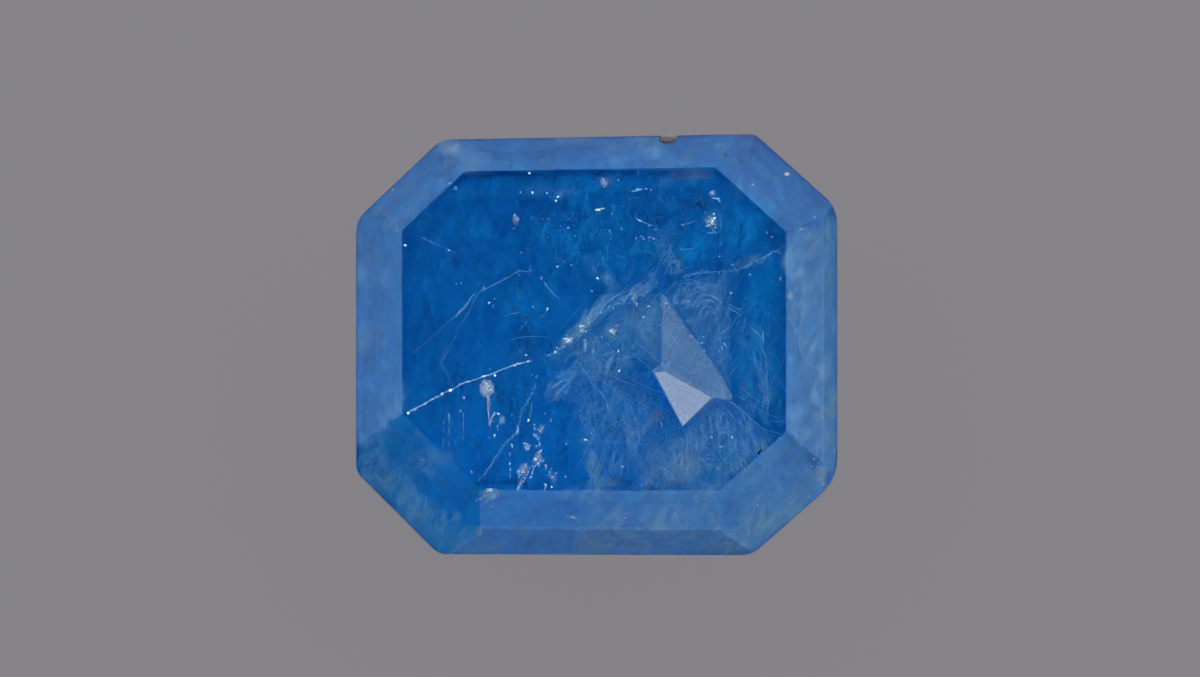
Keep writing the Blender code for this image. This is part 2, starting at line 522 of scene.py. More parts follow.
def add_stroke(piece, pixels, depth, width, slot=0, jitter=0.15):
    """A short curved mark at one depth, widest in its middle."""
    pixels = smooth_path([(x, y, depth) for x, y in pixels], 1.5)
    last = len(pixels) - 1
    path = [inside(x + RNG.gauss(0.0, jitter), y + RNG.gauss(0.0, jitter), deep) for x, y, deep in pixels]
    radii = []
    for place in range(last + 1):
        swell = math.sin(math.pi * (place + 0.6) / (last + 1.2)) ** 0.6
        radii.append(max(THINNEST, 0.5 * width * MM_PER_PIXEL * swell * RNG.uniform(0.75, 1.2)))
    add_thread(piece, path, radii, 6, slot)


def strew(piece, points, spacing, sizes, scatter, slots, depth_scatter=0.05):
    """Small plates along a smooth path, each a little off it."""
    for x, y, depth in smooth_path(points, spacing):
        x += RNG.gauss(0.0, scatter)
        y += RNG.gauss(0.0, scatter)
        depth += RNG.uniform(-depth_scatter, depth_scatter)
        width = RNG.uniform(*sizes)
        add_plate(piece, x, y, depth, width, width * RNG.uniform(0.6, 1.3), RNG.uniform(0, 180), RNG.choice(slots))


def add_sheet(piece, points, faces, fades, thickness=0.006, slot=0, across=None):
    """A thin closed sheet: the faces, their own underside, and a rim between the two."""
    count = len(points)
    drop = (across or Vector((0.0, 0.0, -1.0))) * thickness
    used = {(a, b) for face in faces for a, b in zip(face, face[1:] + face[:1])}
    rim = [(b, a, count + a, count + b) for a, b in used if (b, a) not in used]
    under = [tuple(count + corner for corner in reversed(face)) for face in faces]
    piece.add(points + [point + drop for point in points], faces + under + sorted(rim), slot, fades * 2)


def add_veil(piece, outline, depth, feather=8.0, step=5.0, sag=0.0, slot=0, strength=1.0):
    """A sheet that fills an outline of pixels, fading towards it and wavy by the sag.

    Corners of its mesh just outside the outline move onto it, so its border is straight.
    """
    left, right = min(x for x, _ in outline), max(x for x, _ in outline)
    top, bottom = min(y for _, y in outline), max(y for _, y in outline)
    number = {}
    border = set()
    points = []
    fades = []
    columns = math.ceil((right - left) / step)
    rows = math.ceil((bottom - top) / step)
    shift = RNG.uniform(0.0, 100.0)
    for row in range(rows + 1):
        for column in range(columns + 1):
            x = left + (right - left) * column / columns
            y = top + (bottom - top) * row / rows
            foot, away = to_outline(x, y, outline)
            if not in_outline(x, y, outline):
                if away > 1.5 * step:
                    continue
                (x, y), away = foot, 0.0
                border.add((column, row))
            if sight_line(x + RIM_PULL * (MIDDLE_X - x), y + RIM_PULL * (MIDDLE_Y - y))[0] is None:
                continue
            wave = noise.noise(Vector((x / 45.0, y / 45.0, shift)))
            number[column, row] = len(points)
            points.append(inside(x, y, depth + sag * wave * (1.0 if depth > 0.0 else -1.0)))
            fades.append(strength * (min(1.0, away / feather) ** 1.5 if feather else 1.0))
    faces = []
    for column, row in number:
        cell = [(column, row), (column, row + 1), (column + 1, row + 1), (column + 1, row)]
        if all(corner in number for corner in cell) and not border.issuperset(cell):
            faces.append(tuple(number[corner] for corner in cell))
    used = sorted({corner for face in faces for corner in face})
    fresh = {old: new for new, old in enumerate(used)}
    faces = [tuple(fresh[corner] for corner in face) for face in faces]
    add_sheet(piece, [points[i] for i in used], faces, [fades[i] for i in used], slot=slot)


# Inclusions


def smooth_path(points, step=3.0):
    """Pixels and depths along a smooth curve through the given ones, about one step apart."""
    path = []
    last = len(points) - 1
    for place in range(last):
        before, start = points[max(place - 1, 0)], points[place]
        end, after = points[place + 1], points[min(place + 2, last)]
        count = max(1, round(math.dist(start[:2], end[:2]) / step))
        for number in range(count):
            t = number / count
            path.append(
                tuple(
                    0.5 * (2 * b + (c - a) * t + (2 * a - 5 * b + 4 * c - d) * t**2 + (3 * b - a - 3 * c + d) * t**3)
                    for a, b, c, d in zip(before, start, end, after)
                )
            )
    path.append(tuple(points[last]))
    return path


def add_crack(piece, points, width, beads=0.5, jitter=0.35, slot=0, step=2.2, drop=0.0, curtain_slot=1):
    """A fracture's bright edge: a thread with beads on it, and the fracture's face hanging below."""
    pixels = smooth_path(points, step)
    path = []
    radii = []
    last = len(pixels) - 1
    for place, (x, y, depth) in enumerate(pixels):
        x += RNG.gauss(0.0, jitter)
        y += RNG.gauss(0.0, jitter)
        path.append(inside(x, y, depth + RNG.uniform(-0.015, 0.015)))
        taper = min(1.0, 0.35 + min(place, last - place) / 4.0)
        bead = 1.0 + beads * max(0.0, RNG.gauss(0.0, 1.0))
        radii.append(max(THINNEST, 0.5 * width * MM_PER_PIXEL * taper * bead))
    add_thread(piece, path, radii, 5, slot)
    if drop:
        hung = []
        fades = []
        levels_down = 5
        for level in range(levels_down + 1):
            part = level / levels_down
            for place, (x, y, depth) in enumerate(pixels):
                ends = min(1.0, min(place, last - place) / 5.0)
                hung.append(inside(x, y, depth + drop * part * (0.75 + 0.25 * ends)))
                fades.append((1.0 - part) * ends)
        row = last + 1
        faces = []
        for level in range(levels_down):
            for place in range(last):
                near = level * row + place
                faces.append((near, near + 1, near + row + 1, near + row))
        ahead = hung[last] - hung[0]
        across = Vector((-ahead.y, ahead.x, 0.0)).normalized()
        add_sheet(piece, hung, faces, fades, 0.004, curtain_slot, across)


MAIN_CRACK = (
    [(407, 413.5, 0.10), (420, 406.5, 0.14), (434, 398.5, 0.18), (437.5, 397, 0.18)],
    [(440, 395.5, 0.18), (447, 391, 0.19), (451, 390, 0.20), (463, 383, 0.22), (469.5, 381.5, 0.23),
     (480, 378, 0.25), (494, 373, 0.28), (514, 365, 0.31), (531, 361, 0.34)],
    [(546, 356.3, 0.36), (554.5, 353, 0.37), (564, 346, 0.38), (568, 341.5, 0.38)],
    [(582, 329.5, 0.38), (588, 324, 0.38), (600, 313, 0.40), (610, 307.5, 0.40), (620, 303, 0.40)],
    [(652, 290, 0.45), (642, 294, 0.45), (637, 297.5, 0.45)],
)
MAIN_CRACK_KNOTS = (
    (408, 413, 4, 2.6), (415, 409.6, 2.6, 2.2), (425.5, 403.5, 3, 2.2), (433, 399, 5, 2.8), (442.3, 393.7, 4.2, 4.2),
    (450.5, 390.2, 4.6, 3.6), (468.5, 381.8, 2.6, 2.4), (484, 376, 2.6, 2), (495, 375.5, 3, 1.8), (514.5, 365.2, 3.4, 2.6),
    (528, 361.3, 4, 2.4), (526.3, 355.2, 2.6, 2.4), (549, 355, 2.4, 2.2), (555.4, 352.2, 2.6, 3), (566, 343, 4.5, 4), (569, 340.6, 3, 2.6),
    (563.5, 346.5, 2.6, 2.2),
)

HAIRLINES = (
    (1.5, [(522, 270, 0.5), (518.5, 271, 0.5), (505, 279, 0.45), (485, 289.5, 0.4), (481, 290.6, 0.4)]),
    (1.2, [(532.5, 270, 0.55), (526, 271.5, 0.52), (519, 270.8, 0.5)]),
    (1.1, [(530.2, 265.5, 0.5), (530, 271, 0.5), (529.6, 275.5, 0.5)]),
    (1.6, [(476, 293, 0.4), (470, 298.6, 0.38), (467.6, 303, 0.38), (463.5, 307, 0.36), (458.5, 312.5, 0.34), (456, 316.5, 0.34)]),
    (1.3, [(470.5, 299.5, 0.42), (467, 305, 0.42), (461.5, 311.5, 0.40), (457, 316, 0.40)]),
    (0.8, [(457, 315, 0.34), (445, 325, 0.34), (433, 336, 0.34), (422, 346, 0.34), (412, 354, 0.34)]),
    (0.9, [(481, 276.5, 0.35), (484.5, 274.5, 0.35), (488.5, 272, 0.35)]),
    (0.9, [(478.5, 284.5, 0.35), (481.5, 283.5, 0.35)]),
    (0.8, [(481, 290, 0.5), (476, 297, 0.5), (473, 303, 0.52), (468.5, 312, 0.54), (463, 321, 0.56), (456, 334.5, 0.58), (451, 345, 0.60)]),
    (0.8, [(451, 345, 0.60), (445, 357, 0.60), (441, 364.5, 0.60), (443, 369, 0.60), (447.5, 374, 0.60), (448.5, 385, 0.60)]),
    (0.7, [(447, 345, 0.60), (443.5, 355, 0.60), (442.6, 364, 0.60), (447, 372, 0.60)]),
    (1.1, [(504, 316, 0.3), (512, 314, 0.3), (520, 312.3, 0.3)]),
    (0.8, [(526.5, 322, 0.4), (522, 327, 0.4), (518.5, 332, 0.4)]),
    (0.9, [(508, 341, 0.8), (517, 338, 0.8), (528, 336.5, 0.8), (540, 336.3, 0.8), (549, 336.8, 0.8)]),
    (1.2, [(557, 297.5, 0.5), (553, 293.5, 0.5), (549, 288.5, 0.5), (545.5, 284.5, 0.5), (543, 281, 0.5)]),
    (1.1, [(546.5, 311, 0.3), (543.5, 315.5, 0.3), (538.5, 317.5, 0.3)]),
    (0.9, [(424, 238.2, 0.2), (428, 240, 0.2), (431.5, 241.8, 0.2)]),
    (0.9, [(430, 242, 0.2), (437, 245, 0.2), (445, 247.5, 0.2), (450, 250.6, 0.2), (455.5, 253, 0.2)]),
    (1.3, [(634.5, 217.5, 0.2), (641, 221, 0.2), (647, 223.5, 0.2), (653.7, 226, 0.2)]),
    (1.1, [(681.5, 225.5, 0.4), (689, 223.2, 0.4), (696, 221, 0.4)]),
    (1.2, [(680, 249.2, 0.3), (687.4, 249.6, 0.3), (693.5, 247.5, 0.3)]),
    (0.8, [(668, 243, 0.6), (672, 252, 0.6), (676, 262, 0.6), (680, 270, 0.6)]),
    (1.0, [(633.5, 354, 0.6), (638, 358.2, 0.6), (643, 362.5, 0.6), (648, 366.5, 0.6), (653.4, 371.4, 0.6)]),
    (0.8, [(636.5, 342, 0.7), (643, 348, 0.7), (650, 354, 0.7), (656, 359.5, 0.7), (662, 363.5, 0.7)]),
    (1.1, [(578, 362, 0.9), (584.5, 371, 0.9), (590, 380, 0.9), (594, 386, 0.9), (599, 390, 0.9), (602, 394, 0.9), (606, 401, 0.9), (610.5, 414, 0.9)]),
    (0.8, [(590, 376, 1.0), (597, 379, 1.0), (607, 384, 1.0), (616.6, 392.4, 1.0), (624, 397, 1.0)]),
    (0.7, [(586, 352, 1.0), (592, 366, 1.0), (603, 374, 1.0), (615, 377, 1.0), (627, 383, 1.0)]),
    (0.9, [(660, 499, 0.4), (676, 497, 0.4), (691, 495.6, 0.4), (704, 498, 0.4), (717, 502.5, 0.4)]),
    (0.9, [(663, 489.5, 0.4), (684, 490.5, 0.4), (702, 491.5, 0.4)]),
)

SECOND_CRACK = (
    [(536, 385, 0.7), (533, 391, 0.7), (529, 399, 0.66), (523, 409, 0.62), (520, 418, 0.6), (517.5, 430, 0.58)],
    [(517.5, 430, 0.58), (512, 437.5, 0.55), (506, 443, 0.52), (502, 449, 0.5), (498, 455, 0.48), (489, 467, 0.44), (484.5, 474, 0.42), (479, 480.5, 0.4)],
)

RIGHT_VEIL_LINE = [
    (684, 277, 0.6), (692, 274, 0.55), (700, 273, 0.52), (708, 272.2, 0.5), (721, 272.2, 0.46), (734, 271, 0.42),
    (744, 268, 0.4), (750, 264, 0.38), (755, 261.5, 0.36), (765, 257, 0.32), (772, 252.5, 0.3), (780, 250.5, 0.28),
]

# Painted highlights along the pavilion's facet edges: width in pixels, and a path of pixels and depths
PAVILION_LINES = (
    (1.4, [(664.5, 371, -0.03), (676, 377.6, -0.03), (689, 385, -0.03), (701, 391.3, -0.03), (713, 397.6, -0.03)]),
    (1.2, [(713, 397.8, -0.03), (720.5, 398.3, -0.03), (728, 400.6, -0.03)]),
    (1.5, [(728, 400.8, 1.4), (735, 405.2, 1.3), (741, 409.5, 1.25), (747, 415, 1.2), (753, 420.5, 1.1)]),
    (1.1, [(753, 420.5, 1.1), (759, 425.5, 1.0), (765.6, 430, 0.9), (773, 431.5, 0.8), (780, 434, 0.7)]),
    (1.4, [(741, 410, 1.3), (744.6, 418, 1.3), (747.6, 426, 1.3), (750, 432.5, 1.3), (754, 439, 1.3)]),
    (0.8, [(750, 430, 1.3), (756, 437, 1.3), (762, 448, 1.3)]),
    (0.6, [(664.5, 295, 1.5), (694.5, 338, 1.5), (708, 357, 1.5), (720.4, 374, 1.5), (731.5, 397, 1.4)]),
    (1.0, [(682.6, 427, -0.05), (684.5, 435.5, -0.2), (687, 445, -0.4)]),
    (1.0, [(653.3, 371.2, -0.03), (658.5, 370.6, -0.03), (664.5, 371, -0.03)]),
    (1.0, [(641.5, 440.2, 2.2), (651, 436.6, 2.2), (661.6, 433, 2.2), (672, 430, 2.2), (681.5, 427.5, 2.2)]),
    (0.9, [(641.5, 440.2, 2.2), (655, 439.2, 2.2), (668, 437.6, 2.2), (679, 434.4, 2.2)]),
)

# Rows of short upright marks: where across, and the top and bottom of each
DASHES = (
    (510.2, [(448, 449), (452, 457), (460, 462), (464, 465.4), (468, 471), (474, 477)]),
    (463.2, [(412, 418), (420, 432), (436, 441)]), (449, [(412, 424), (428, 434), (440, 446)]),
    (443.4, [(420, 424), (428, 433), (438, 446)]), (541.4, [(423, 429)]), (536.8, [(432, 441)]),
)

# Each crystal: pixel, width and height in pixels, and how far it is turned, in degrees
CRYSTALS = {
    "white": (
        (532.3, 192.3, 3, 3.6, 0), (529.3, 173.5, 3.2, 2.2, 20), (558, 197, 3.4, 2, 30), (547, 193, 2, 1.6, 0),
        (556, 201, 3, 1.8, 0), (424, 238, 2.0, 1.6, -20), (405, 245.3, 5, 1.4, -8), (449, 250.2, 2.4, 2, 0),
        (489.6, 302.7, 2.8, 3.4, 15), (547.3, 308.8, 3, 3.6, -30), (597.6, 209.6, 7, 2.4, 16), (598.5, 210, 4, 2, 16),
        (557.5, 267, 3.6, 2.8, 20), (597.4, 278.3, 4, 2, -40), (592, 291, 1.8, 1.8, 0), 
        (712.5, 198, 5, 1.6, -25), (719.4, 201, 3, 1.2, 0), (682, 225, 3, 1.2, 20), (732.5, 264.6, 1.8, 1.4, 0),
        (636.8, 303, 1.3, 7, 10), (648.8, 306, 2.6, 2.2, 30), (643.4, 317, 4.4, 2.2, 35),
        (666.4, 303.3, 3.4, 2, 0), (612, 331, 3.5, 3, 20), (614, 334, 2, 4, 0), (618, 350.3, 1.8, 5, 0), (619, 370.6, 3.2, 3.2, 0),
        (580, 326.5, 2, 3, 20), (586, 331.5, 2.2, 2.2, 0), (571.5, 338.5, 2, 2, 0),
        (498, 413.5, 4, 2.2, 0), (585, 440, 5.5, 2, 28), (552, 487, 2.6, 2.2, 0), (494.8, 435.6, 2.2, 2.2, 0),
        (571, 264.6, 1.8, 1.8, 0), (573, 517.7, 7.5, 3, -30), (567, 516.3, 3, 2, 10), (720.6, 446.3, 6, 2.4, 22),
        (732.3, 437.6, 2.2, 4.4, 20), (712, 438, 3, 2.4, 0), 
        (528.2, 420, 3.2, 3.2, 20), (618.5, 303.5, 2.2, 1.8, 0), (600.4, 312.6, 2.4, 2, 0), (752.5, 184.6, 2.4, 2.2, 0),
        (787.3, 174, 5, 3.4, 0), (790.4, 296.4, 4, 5.2, 10), (807.5, 237, 4, 4.6, 10), (800, 229.5, 5, 3.4, 20),
        (820.9, 410.3, 4.2, 6, 0), (822.8, 484.6, 6.4, 3.8, 14), (808.7, 496, 4, 2.8, 20), (817.7, 466.3, 3.6, 2.8, 20),
        (811, 466, 3, 2.4, 0), (362, 466.5, 2.6, 5.4, 16), (366, 472, 2.6, 2.4, 0), (623, 466.7, 2.4, 2.2, 0), (758, 505, 2.2, 2.8, 0),
        (712.6, 547.3, 3.4, 2.6, 0), (625, 518, 2.6, 1.8, -20), (814.6, 217, 2.6, 2.6, 0), (384, 363.6, 3.4, 3.4, 0),
        (371, 321.6, 2.6, 2.6, 0), (731, 293, 2.2, 2.2, 0), (509, 162.5, 2.8, 2, 0), (541.5, 160, 4, 2, 0), (392.5, 189.5, 3, 2.4, 20),
    ),
    "ice": (
        (621.4, 228.8, 2.4, 4, 0), (610, 232, 2, 8, 24), (490, 369.2, 3, 2.2, 0),
        (585, 346, 3.4, 10, 0), (585, 340.5, 5, 4, 0), (502, 421, 5, 6, 20), (518.4, 219.4, 2.2, 4, 0), (543, 219, 2, 2, 0), (526, 448, 4, 5, 20),
        (484, 288, 3, 4, 0), (612, 213, 1.6, 5, 0), (655.4, 229.5, 5, 2.6, 0), (638, 189.7, 6, 4, 15), (646, 189, 4, 3, 0),
        (604, 187, 3, 3, 0), (618, 180, 4, 4, 0), (456, 188, 4, 6, 20), (455, 189, 6, 3, 0), (649, 225.5, 4, 2, -20),
        (593, 352, 2, 8, 10), (489, 437.7, 2, 1.6, 0), 
        (711, 233, 12, 2, 0), (722, 348, 2, 9, 25), (725, 345, 1.6, 9, 28), (718.6, 351, 1.6, 6, 28), (704, 351, 3, 4, 0),
        (698, 343, 3, 6, 20), (703, 337, 4, 3, 0), (763, 336, 1.4, 18, 3), (756, 333, 2, 3, 0),
        (795, 331, 2.4, 12, -28), (741.5, 465, 1.6, 11, 22), (731, 462.5, 1.4, 8, 0),
        (640, 445, 2, 2, 0), (661.6, 425, 1.4, 10, 10), (662.6, 418, 2, 4, 0), (551, 420.4, 1.8, 6.4, -34), (544.6, 413.6, 2.4, 2.8, 0),
        
        
        (493.4, 306, 1.2, 6, -14),
    ),
    "rose": (
        (520.5, 192.2, 2.6, 2.2, 0), (563.3, 261, 1.8, 1.8, 0), (548, 219, 2, 2, 0), (568, 228, 3.4, 3, 0), (599, 210, 4, 1.6, 20),
        (651, 190, 2.2, 1.8, 0), (712, 192.6, 4.6, 3, 0), (649, 237.2, 3.6, 1.6, 0), (653.6, 238.8, 3.6, 2.4, 18), (636, 238.6, 2, 2, 0),
        (719.4, 256.4, 2, 1.6, 0), (545.5, 284.4, 2, 4, 25), (595, 359, 2, 2.4, 0), (602, 337, 2, 2.2, 0), (577, 276, 0.8, 0.8, 0),
        (460.6, 411, 3, 4.2, 0), (463.8, 397.6, 3.4, 4.4, 0), (490, 424, 2, 5, 0),
        (480.6, 498.6, 3.4, 2.8, 0), (487, 501.6, 4, 2, 0), (494, 504, 2.2, 3, 0), (471.6, 472, 2.4, 3.6, 10), (565.4, 476.6, 3.4, 2.4, -30), (566.3, 443.8, 2.8, 3.6, -10),
        (480.6, 532.4, 4, 3.4, 30), (488, 509.6, 1.6, 3, 0), (822, 417.4, 3, 2.4, 20), (804.4, 472, 3, 2.6, 0), (591.2, 433.4, 1.6, 1.6, 0), (661.7, 424, 0.8, 4, 0),
        (688, 301.5, 2, 2, 0), (750, 274.6, 3.6, 2, 24), (644, 296, 1.6, 1.6, 0), (613.4, 308, 3, 2, 20), (771.7, 236.8, 3, 2, -40), (767, 232.5, 1.6, 4, 30), (511.7, 414.7, 2, 2, 0), (554, 411.5, 1, 1, 0),
    ),
    "pink": ((533, 307, 2.8, 2.6, 0), (616.6, 325.6, 3.2, 2.2, 20), (510, 453.6, 1.8, 4.6, 0), (602.4, 336.4, 1.2, 1.2, 0), (580, 416, 3, 2, 0), (486, 503, 4, 1.6, 0)),
    "cyan": (
        (536.2, 376.4, 3, 5, -24), (532, 375, 2, 2, 0), (561.3, 369.6, 1.8, 2.4, 14), (560.6, 373, 2.6, 2.2, 0), (687, 444.8, 1.8, 6.4, 0), (687.6, 441.6, 3.4, 1.6, 0),
        (760.8, 511.4, 2.4, 2, 0), (537.5, 521.6, 1.8, 2.4, 0), (531.6, 217.6, 1.2, 4, 0), (708, 454.8, 1.8, 2.4, 0), (725.6, 462.4, 2.6, 2, 0), (617, 524.8, 2.4, 1.8, 0), (566, 497, 1.6, 1.6, 0),
        (615.4, 327, 2, 1.4, 10), (825.4, 485, 3, 2, 14), (387, 402.6, 3, 3.6, 0), (449, 416, 2.4, 7, 0), (584.6, 439.6, 3, 1, 28), (642, 237, 1.4, 2.4, 0),
        (456.4, 284, 2.4, 3, 0), (461, 283, 2, 3, 20),
    ),
    "lilac": ((516, 220, 2.4, 4, 0), (519, 275, 2, 2, 0), (494.6, 298.6, 2, 2.2, 0), (691, 337, 7, 4, 20), (702, 343, 4, 3, 0), (541.6, 277.4, 2.6, 2.6, 0), (690, 336, 4, 2.4, 0), (519, 472, 6, 7, -30), (557, 347.6, 1.6, 3, 0)),
    "amber": ((541.4, 278.8, 2.4, 3, 20), (780.3, 278.6, 1.8, 5, 0), (717.7, 469, 3, 3.2, 10), (750.4, 274.6, 2, 1.2, 24), (562, 197, 1, 1, 0), (521, 252.4, 3, 1.6, 0)),
    "teal": ((698, 289.6, 4.6, 2.4, 8), (641, 237.4, 1.6, 3, 0)),
    "dark": ((759.5, 451.7, 3, 8.4, -36), (820, 308, 4.4, 3, 0), (816.5, 307, 2, 1.6, 0), (696.6, 204.5, 2.6, 1.6, 0), (481, 342.6, 1.8, 1.6, 0), (724.8, 154, 5, 2.4, 0), (424.6, 168.6, 2.6, 2, 0)),
    "brown": ((823.2, 307.6, 2.2, 2.6, 0), (513, 306.8, 5, 2, 0), (527, 318, 8, 2.4, 10), (618.6, 419.6, 4, 4, 0), (623, 466.8, 1.4, 1.4, 0), (520, 317.4, 4, 1.6, 0)),
}
# Curved marks: tone, width in pixels, depth in millimetres, and their path
STROKES = (
    ("ice", 0.9, 0.22, [(482, 384), (481, 388), (482, 393), (485, 397)]),
    ("white", 0.8, 0.20, [(483, 382), (486, 383.5), (487, 387), (488, 391), (489.5, 393)]),
    ("glint", 1.1, 0.18, [(489.5, 385), (488.2, 388), (489.8, 390.5), (491.5, 389)]),
    ("white", 0.8, 0.20, [(491, 385), (493, 388), (492.5, 392), (490, 394.5)]),
    ("rose", 1.9, 0.22, [(488, 395), (488, 399), (487.6, 404)]),
    ("rose", 1.2, 0.22, [(487.7, 402), (488, 409), (488.6, 415)]),
    ("rose", 0.8, 0.22, [(488.6, 413), (489, 418), (489.2, 426)]),
    ("rose", 1.4, 0.22, [(494.3, 412.5), (492, 417), (490.5, 423)]),
    ("white", 0.8, 0.20, [(493.6, 414), (491.8, 418), (490.6, 421)]),
    ("ice", 3.0, 0.30, [(504, 416.5), (502.5, 420), (500, 423.5)]),
    ("white", 2.2, 0.16, [(486, 491.6), (490, 491), (494.5, 492)]),
    ("glint", 2.6, 0.15, [(493.6, 491.5), (494, 495), (492, 498)]),
    ("white", 1.6, 0.16, [(489.6, 497.5), (492, 498.4), (495.6, 497.4)]),
    ("glint", 2.0, 0.15, [(710, 225.4), (712, 221.5), (715.4, 217)]),
    ("white", 1.5, 0.16, [(706, 226.5), (709.5, 224.8), (713.6, 224)]),
    ("white", 1.2, 0.17, [(707, 222.5), (710.4, 220.6), (713, 218.6)]),
    ("ice", 1.0, 0.2, [(712, 228), (713.4, 231), (717, 233.2)]),
    ("glint", 0.9, 0.15, [(714.6, 197), (716.2, 198.4), (718, 199.2), (719.8, 198.4)]),
    ("glint", 1.7, 0.20, [(579.6, 326.2), (582.4, 326), (584.6, 327.6), (585, 330.4)]),
    ("white", 1.0, 0.20, [(580.6, 329), (581.4, 331), (583.6, 331.6)]),
    ("white", 1.3, 0.22, [(563.6, 338.4), (566.6, 339.4), (569.4, 338.6)]),
    ("glint", 1.4, 0.20, [(565.4, 343.6), (566.8, 341), (568.6, 343.2)]),
    ("ice", 2.6, 0.5, [(585.6, 339.4), (585, 343.5), (584.6, 351.6)]),
    ("white", 1.4, 0.3, [(608.6, 330.2), (611, 331.4), (613.4, 333.6)]),
    ("pink", 1.6, 0.2, [(615, 327), (617, 325.8), (618.6, 325.2)]),
    ("glint", 2.0, 0.2, [(632.4, 293), (633.6, 296.4), (635.4, 299.4)]),
    ("white", 1.0, 0.2, [(598, 209.4), (601, 208.8), (604, 208.2)]),
    ("rose", 1.6, 0.4, [(602.4, 178), (604.6, 182), (606, 186)]),
    ("rose", 1.4, 0.4, [(601.8, 180), (603, 184), (607.4, 182.4)]),
    ("ice", 2.2, 0.4, [(631, 192), (637, 190.6), (643, 189)]),
    ("glint", 0.9, 0.2, [(634.6, 217.6), (640, 220.6), (643, 221.8)]),
    ("ice", 0.7, 0.8, [(727, 308), (734, 311), (741, 315)]),
    ("ice", 0.6, 0.8, [(729, 304), (735, 308), (742, 310)]),
    ("ice", 0.6, 0.7, [(748, 325), (755, 331), (760, 336), (764, 342)]),
    ("ice", 0.8, 0.15, [(789.6, 320), (796, 328), (799.4, 340), (800, 350), (808, 362), (822, 372)]),
    ("ice", 0.6, 0.7, [(696, 311), (699.6, 303), (707, 300), (714.6, 303), (718.6, 311)]),
    ("ice", 0.5, 0.7, [(698, 316), (702, 308.6), (707, 306.4), (712.6, 309), (715.6, 316)]),
    ("ice", 0.5, 0.7, [(692, 308), (697, 298.6), (707, 295), (718, 299), (723, 309)]),
    ("teal", 2.6, 0.7, [(530, 402), (529.6, 410), (528, 418)]),
    ("ice", 0.5, 0.5, [(532, 402), (531.4, 410), (529.4, 419)]),
)

# Sparkling patches: tone, middle, spread either way in pixels, how many plates, and their sizes
SPARKLES = (
    ("white", 488, 389, 4.0, 4.5, 16, 0.5, 1.3), ("rose", 486, 387, 3.0, 3.6, 10, 0.8, 1.8), ("ice", 495, 386, 3.0, 3.0, 10, 0.4, 1.0),
    ("rose", 488, 499, 5.0, 3.6, 12, 0.8, 2.0), ("white", 491.5, 494, 4.0, 3.0, 16, 0.5, 1.5), ("ice", 486, 497, 6.0, 4.0, 10, 0.5, 1.4),
    ("white", 711, 221, 4.0, 4.0, 20, 0.4, 1.3), ("ice", 713, 223, 6.0, 6.0, 16, 0.4, 1.1), ("rose", 712, 193, 1.8, 1.4, 8, 0.7, 1.8),
    ("white", 566, 341, 3.0, 3.0, 10, 0.4, 1.2), ("white", 583, 328, 2.6, 2.6, 8, 0.4, 1.0), ("white", 612, 331, 3.0, 2.4, 8, 0.4, 1.2),
    ("ice", 603, 340, 4.0, 5.0, 14, 0.4, 0.9), ("white", 634, 297, 2.0, 3.0, 8, 0.4, 1.1), ("rose", 646, 238, 7.0, 1.6, 10, 0.5, 1.4),
    ("cyan", 641, 237, 1.6, 1.0, 3, 0.8, 1.4), ("rose", 571, 230, 9.0, 6.0, 8, 0.4, 1.1), ("ice", 572, 218, 12.0, 4.0, 14, 0.4, 1.2),
    ("ice", 700, 300, 22.0, 16.0, 60, 0.3, 0.8), ("ice", 722, 348, 4.0, 6.0, 14, 0.4, 1.0), ("ice", 560, 190, 20.0, 6.0, 26, 0.3, 1.0),
    ("white", 819, 472, 7.0, 7.0, 26, 0.6, 1.9), ("cyan", 823, 485, 3.0, 2.0, 8, 0.8, 1.8), ("white", 822, 484, 3.0, 2.0, 10, 0.8, 2.0),
    ("white", 806, 236, 7.0, 9.0, 22, 0.4, 1.3), ("white", 514, 219, 3.0, 4.0, 10, 0.4, 1.0), ("white", 687, 442, 3.0, 4.0, 8, 0.4, 1.0), ("ice", 480, 535, 2.0, 6.0, 8, 0.6, 1.4), ("ice", 662, 236, 12.0, 8.0, 26, 0.3, 0.9),
    ("white", 684, 396, 11.0, 8.0, 24, 0.3, 0.8), ("ice", 750, 262, 16.0, 6.0, 24, 0.3, 0.9), ("ice", 605, 265, 26.0, 8.0, 24, 0.3, 0.9),
)
CRYSTAL_DEPTH = {
    "glint": 0.2,
    "white": 0.10, "ice": 0.35, "rose": 0.14, "pink": 0.14, "cyan": 0.5, "lilac": 0.25, "amber": 0.12, "teal": 0.4, "dark": 0.10, "brown": 0.15,
}
# Which of them shine: their roughness and how metallic they look, as a film of air does in a stone
GLOSS = {"white": (0.35, 0.85), "glint": (0.25, 1.0)}
TONES = {
    "white": (0.80, 1.0, 0.93), "glint": (0.88, 1.0, 0.95), "ice": (0.28, 0.66, 0.94), "rose": (0.78, 0.72, 0.94), "pink": (1.0, 0.36, 0.75), "cyan": (0.12, 0.80, 1.0),
    "lilac": (0.62, 0.62, 0.98), "amber": (0.95, 0.60, 0.45), "teal": (0.01, 0.26, 0.40), "dark": (0.004, 0.012, 0.03), "brown": (0.17, 0.10, 0.07),
}


